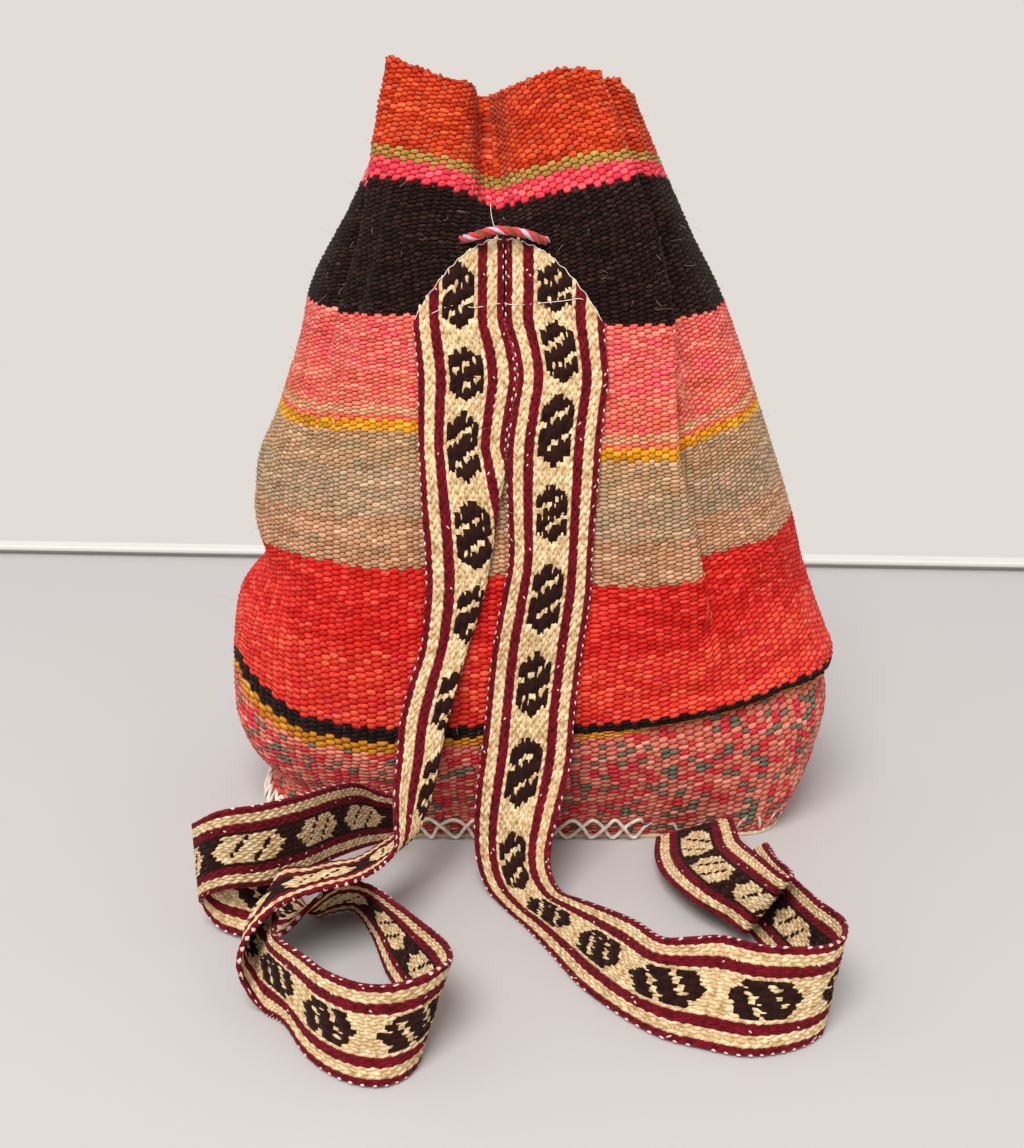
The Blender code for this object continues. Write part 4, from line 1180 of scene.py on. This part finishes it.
def strap_core(name, surface, distances, motifs, arch):
    """The strap's flat core, cut to its arch at the top."""
    length = distances[-1]
    rows = round(length / 2.5)
    columns = len(column_edges) - 1

    def distance_at(across, along):
        cut = np.array([arch(share) for share in across])
        near_top = np.clip(1 - length * along / 60.0, 0, 1)
        return np.clip(cut * near_top + length * along, cut, length)

    def face_place(side):
        def place(across, along):
            return on_strap(surface, distances, across, distance_at(across, along),
                            side * 0.5 * CORE_THICKNESS * np.ones(len(across)))
        return place

    faces = {-1: face_place(-1), 1: face_place(1)}
    bm = bmesh.new()
    verts = []
    for side in (1, -1):
        made = bend_grid(bm, columns, rows, faces[side])
        verts += made
        for face in {face for vert in made for face in vert.link_faces}:
            spots = np.array([loop[bm.loops.layers.uv["weave"]].uv for loop in face.loops])
            across, along = spots.mean(axis=0)
            kind = STRAP_COLUMNS[min(int(across * columns), columns - 1)][0]
            share = float(np.interp(across * columns, range(columns + 1), column_edges))
            distance = float(distance_at(np.array([share]), np.array([along]))[0])
            dark = kind == "field" and shows_dark(share, distance, motifs, side > 0)
            face.material_index = 0 if kind == "maroon" else (2 if dark else 1)
    for end in (0, 1):
        verts += bend_grid(bm, rows, 1, rim_place(faces.values(), True, end))
        verts += bend_grid(bm, columns, 1, rim_place(faces.values(), False, end))
    bmesh.ops.remove_doubles(bm, verts=verts, dist=0.001 * MM)
    bmesh.ops.recalc_face_normals(bm, faces=bm.faces)
    return add_piece(name, bm, strap_wools)


# Fine two-ply wool, tightly twisted: smoother than the cloth. Each yarn differs slightly, and
# soft fibres blur its outline.
strap_wools = []
for name, dark, light in (("maroon_wool_warp", "#4C0812", "#7E1222"),
                          ("cream_wool_warp", "#B28C5A", "#EDD5AA"),
                          ("dark_wool_warp", "#1B0B0A", "#33170F"),
                          ("white_cotton_weft", "#CFA598", "#F2DACE")):
    wool = new_material(name, {"Roughness": 0.92, "Sheen Weight": 0.04,
                               "Specular IOR Level": 0.08})
    place_on = add_node(wool, "TexCoord").outputs["Object"]
    fine = add_node(wool, "TexNoise", {"Vector": place_on, "Scale": 1600.0, "Detail": 2.0})
    colour = uneven_dye(wool, 330.0, 3.0, 0.6, ((0.32, dark), (0.66, light)))
    finish_material(wool, colour, fine)
    strap_wools.append(wool)


def arch_distance(inner_first):
    """The cut top of a strap, as a distance down from its highest row."""
    def cut(share):
        inner = min(max(share if inner_first else 1 - share, 0.0), 1.0)
        return 1.0 + STRAP_ARCH_DROP * inner ** STRAP_ARCH_POWER
    return cut


strap_faces = []
strap_tops = []
for name, rows, run, inner_first, motifs in (
        ("left", LEFT_ROWS, LEFT_RUN, False, LEFT_MOTIFS),
        ("right", RIGHT_ROWS, RIGHT_RUN, True, RIGHT_MOTIFS)):
    surface, distances = strap_surface(rows, run)
    arch = arch_distance(inner_first)
    core = strap_core(name + "_strap_core", surface, distances, motifs, arch)
    face_yarns = strap_yarns(name + "_strap_face", surface, distances, motifs, True,
                             arch, 0.0)
    back_yarns = strap_yarns(name + "_strap_reverse", surface, distances, motifs,
                             False, arch, 150.0)
    for piece in (core, face_yarns, back_yarns):
        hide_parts(name + "_strap")
    strap_faces.append(face_yarns)
    strap_tops.append((surface, distances, arch))


# ---- Loose threads ----
# Pale sewing thread crosses the tops of the straps and follows their arched ends, one
# loose end hangs over the drawstring, and short stray fibres stand off the wool.
SEWING_RADIUS = 0.19
SEWING_PITCH = 2.5
TOP_SEAM = ((-43, 254), (-39, 256.5), (-31, 259), (-22, 258), (-12, 259.5), (-3, 259),
            (8, 260), (17, 261), (23, 262), (26, 261))
LOOSE_END = ((-12, 286), (-13.5, 290), (-15, 295), (-15.5, 300))
FIBRE_COUNT = 900
FIBRE_RADIUS = 0.055
surfaces = []
for piece in (*strap_faces, upper_cloth, middle_cloth, lower_cloth):
    bm = bmesh.new()
    bm.from_mesh(piece.data)
    surfaces.append(BVHTree.FromBMesh(bm))
    bm.free()


def in_front(x, z, stand_off):
    """The point a little in front of the bag at a width and height, in millimetres."""
    start = Vector((x, -300, z)) * MM
    hits = [tree.ray_cast(start, Vector((0, 1, 0)))[0] for tree in surfaces]
    nearest = min(hit.y for hit in hits if hit)
    return np.array((x, nearest / MM - stand_off, z))


bm = bmesh.new()
for route, stand_off in ((TOP_SEAM, 0.2), (LOOSE_END, 0.9)):
    path = even_path([np.array((x, 0, z), float) for x, z in route], 1.5)
    path = [in_front(point[0], point[2], stand_off) for point in path]
    twisted_tube(bm, even_path(path, 0.8), SEWING_RADIUS, 2, 0.05, SEWING_PITCH, 6, 0.8)
for surface, distances, arch in strap_tops:
    shares = np.linspace(0.02, 0.98, 40)
    cut = np.array([arch(share) for share in shares]) + 0.5 * np.sin(shares * 60) + 0.3
    path = on_strap(surface, distances, shares, cut, np.full(len(shares), 1.0))
    twisted_tube(bm, even_path(path, 0.8), SEWING_RADIUS, 2, 0.05, SEWING_PITCH, 6, 0.8)
add_piece("sewing_thread", bm, [white_wool])


def add_fibre(bm, points):
    """One closed three-sided hair through some points."""
    rings = []
    for index, point in enumerate(points):
        before = points[max(index - 1, 0)]
        after = points[min(index + 1, len(points) - 1)]
        side = np.cross(after - before, (0.31, 0.23, 0.92))
        side /= np.linalg.norm(side)
        other = np.cross(after - before, side)
        other /= np.linalg.norm(other)
        ways = [math.cos(turn) * side + math.sin(turn) * other for turn in (0, 2.094, 4.189)]
        rings.append([bm.verts.new(Vector(point + FIBRE_RADIUS * way) * MM) for way in ways])
    for low, high in zip(rings, rings[1:]):
        for k in range(3):
            bm.faces.new((low[k], low[(k + 1) % 3], high[(k + 1) % 3], high[k]))
    bm.faces.new(rings[0][::-1])
    bm.faces.new(rings[-1])


fibre_random = np.random.default_rng(21)
bm = bmesh.new()
for number in range(FIBRE_COUNT):
    distance = fibre_random.uniform(8, 374)
    index = fibre_random.uniform(0, DENSE)
    point = from_grid(smooth_points, np.array(distance), np.array(index))
    way = from_grid(smooth_ways, np.array(distance), np.array(index))
    heading = fibre_random.normal(size=3)
    bend = fibre_random.normal(size=3)
    length = fibre_random.uniform(2.5, 7.0)
    points = []
    for part in np.linspace(0, 1, 5):
        stand_off = 0.9 + 3.2 * part * (1.25 - part) * fibre_random.uniform(0.8, 1.2)
        points.append(point + way * stand_off + heading * length * 0.4 * part
                      + bend * 1.2 * part * part)
    add_fibre(bm, points)
bmesh.ops.recalc_face_normals(bm, faces=bm.faces)

# Loose wool hairs, pale and matt, dyed unevenly from place to place
stray_wool = new_material("stray_wool_fibre", {"Roughness": 0.9, "Specular IOR Level": 0.1})
finish_material(stray_wool, uneven_dye(stray_wool, 120.0, 2.0, 0.5,
                                       ((0.35, "#C58F78"), (0.65, "#EBBBA2"))))
add_piece("stray_wool_fibres", bm, [stray_wool])


# ---- Floor and light ----
# A plain pale floor that ends in a thin rounded lip, turned slightly, with a plain pale
# room behind it, under soft light from above and in front.
FLOOR_END_Y = 0.383
FLOOR_TURN = math.radians(-3.2)
FLOOR_REACH = 4.0
LIP_DEPTH = 0.014
LIP_HEIGHT = 0.0036
LIP_MIDDLE_Z = 0.0062
LAMP_PLACE = (-0.5, -1.85, 2.6)
LAMP_FROM_BAG = (-0.5, -1.85, 2.45)
LAMP_SIZE = 1.7
LAMP_WATTS = 100.0
ROOM_STRENGTH = 0.78
stage = []
for name, hex_colour in (("floor", "#BBB6B4"), ("floor_lip", "#DAD7D1")):
    bm = bmesh.new()
    if name == "floor_lip":
        size = Matrix.Diagonal((2 * FLOOR_REACH, LIP_DEPTH, LIP_HEIGHT, 1))
        bmesh.ops.create_cube(bm, size=1.0, matrix=size)
        bmesh.ops.bevel(bm, geom=bm.edges[:], offset=0.0012, offset_type="OFFSET",
                        segments=3, profile=0.5, affect="EDGES", material=-1)
        bmesh.ops.translate(bm, verts=bm.verts, vec=(0, -0.5 * LIP_DEPTH, LIP_MIDDLE_Z))
    else:
        bmesh.ops.create_grid(bm, x_segments=1, y_segments=1, size=FLOOR_REACH)
        bmesh.ops.translate(bm, verts=bm.verts, vec=(0, -FLOOR_REACH, 0))
    bmesh.ops.rotate(bm, verts=bm.verts, matrix=Matrix.Rotation(FLOOR_TURN, 3, "Z"))
    bmesh.ops.translate(bm, verts=bm.verts, vec=(0, FLOOR_END_Y, 0))
    mesh = bpy.data.meshes.new(name)
    bm.to_mesh(mesh)
    bm.free()
    mesh.materials.append(new_material("painted_" + name, {
        "Base Color": linear(hex_colour), "Roughness": 0.8}))
    stage.append(bpy.data.objects.new(name, mesh))
    bpy.context.scene.collection.objects.link(stage[-1])

lamp_data = bpy.data.lights.new("window", "AREA")
lamp_data.shape = "DISK"
lamp_data.size = LAMP_SIZE
lamp_data.energy = LAMP_WATTS
lamp = bpy.data.objects.new("window", lamp_data)
lamp.location = LAMP_PLACE
lamp.rotation_euler = Vector(LAMP_FROM_BAG).to_track_quat("Z", "Y").to_euler()
bpy.context.scene.collection.objects.link(lamp)
world = bpy.data.worlds.new("room")
bpy.context.scene.world = world
world.use_nodes = True
room_light = world.node_tree.nodes["Background"]
room_light.inputs[0].default_value = linear("#F4F4F4")
room_light.inputs[1].default_value = ROOM_STRENGTH
seen_room = add_node(world, "Background", {0: linear("#E2DDD6"), 1: 1.0})
to_camera = add_node(world, "LightPath").outputs["Is Camera Ray"]
room = add_node(world, "MixShader", {0: to_camera, 1: room_light, 2: seen_room})
world.node_tree.links.new(room.outputs[0],
                          world.node_tree.nodes["World Output"].inputs[0])
bpy.context.scene.view_settings.view_transform = "Standard"
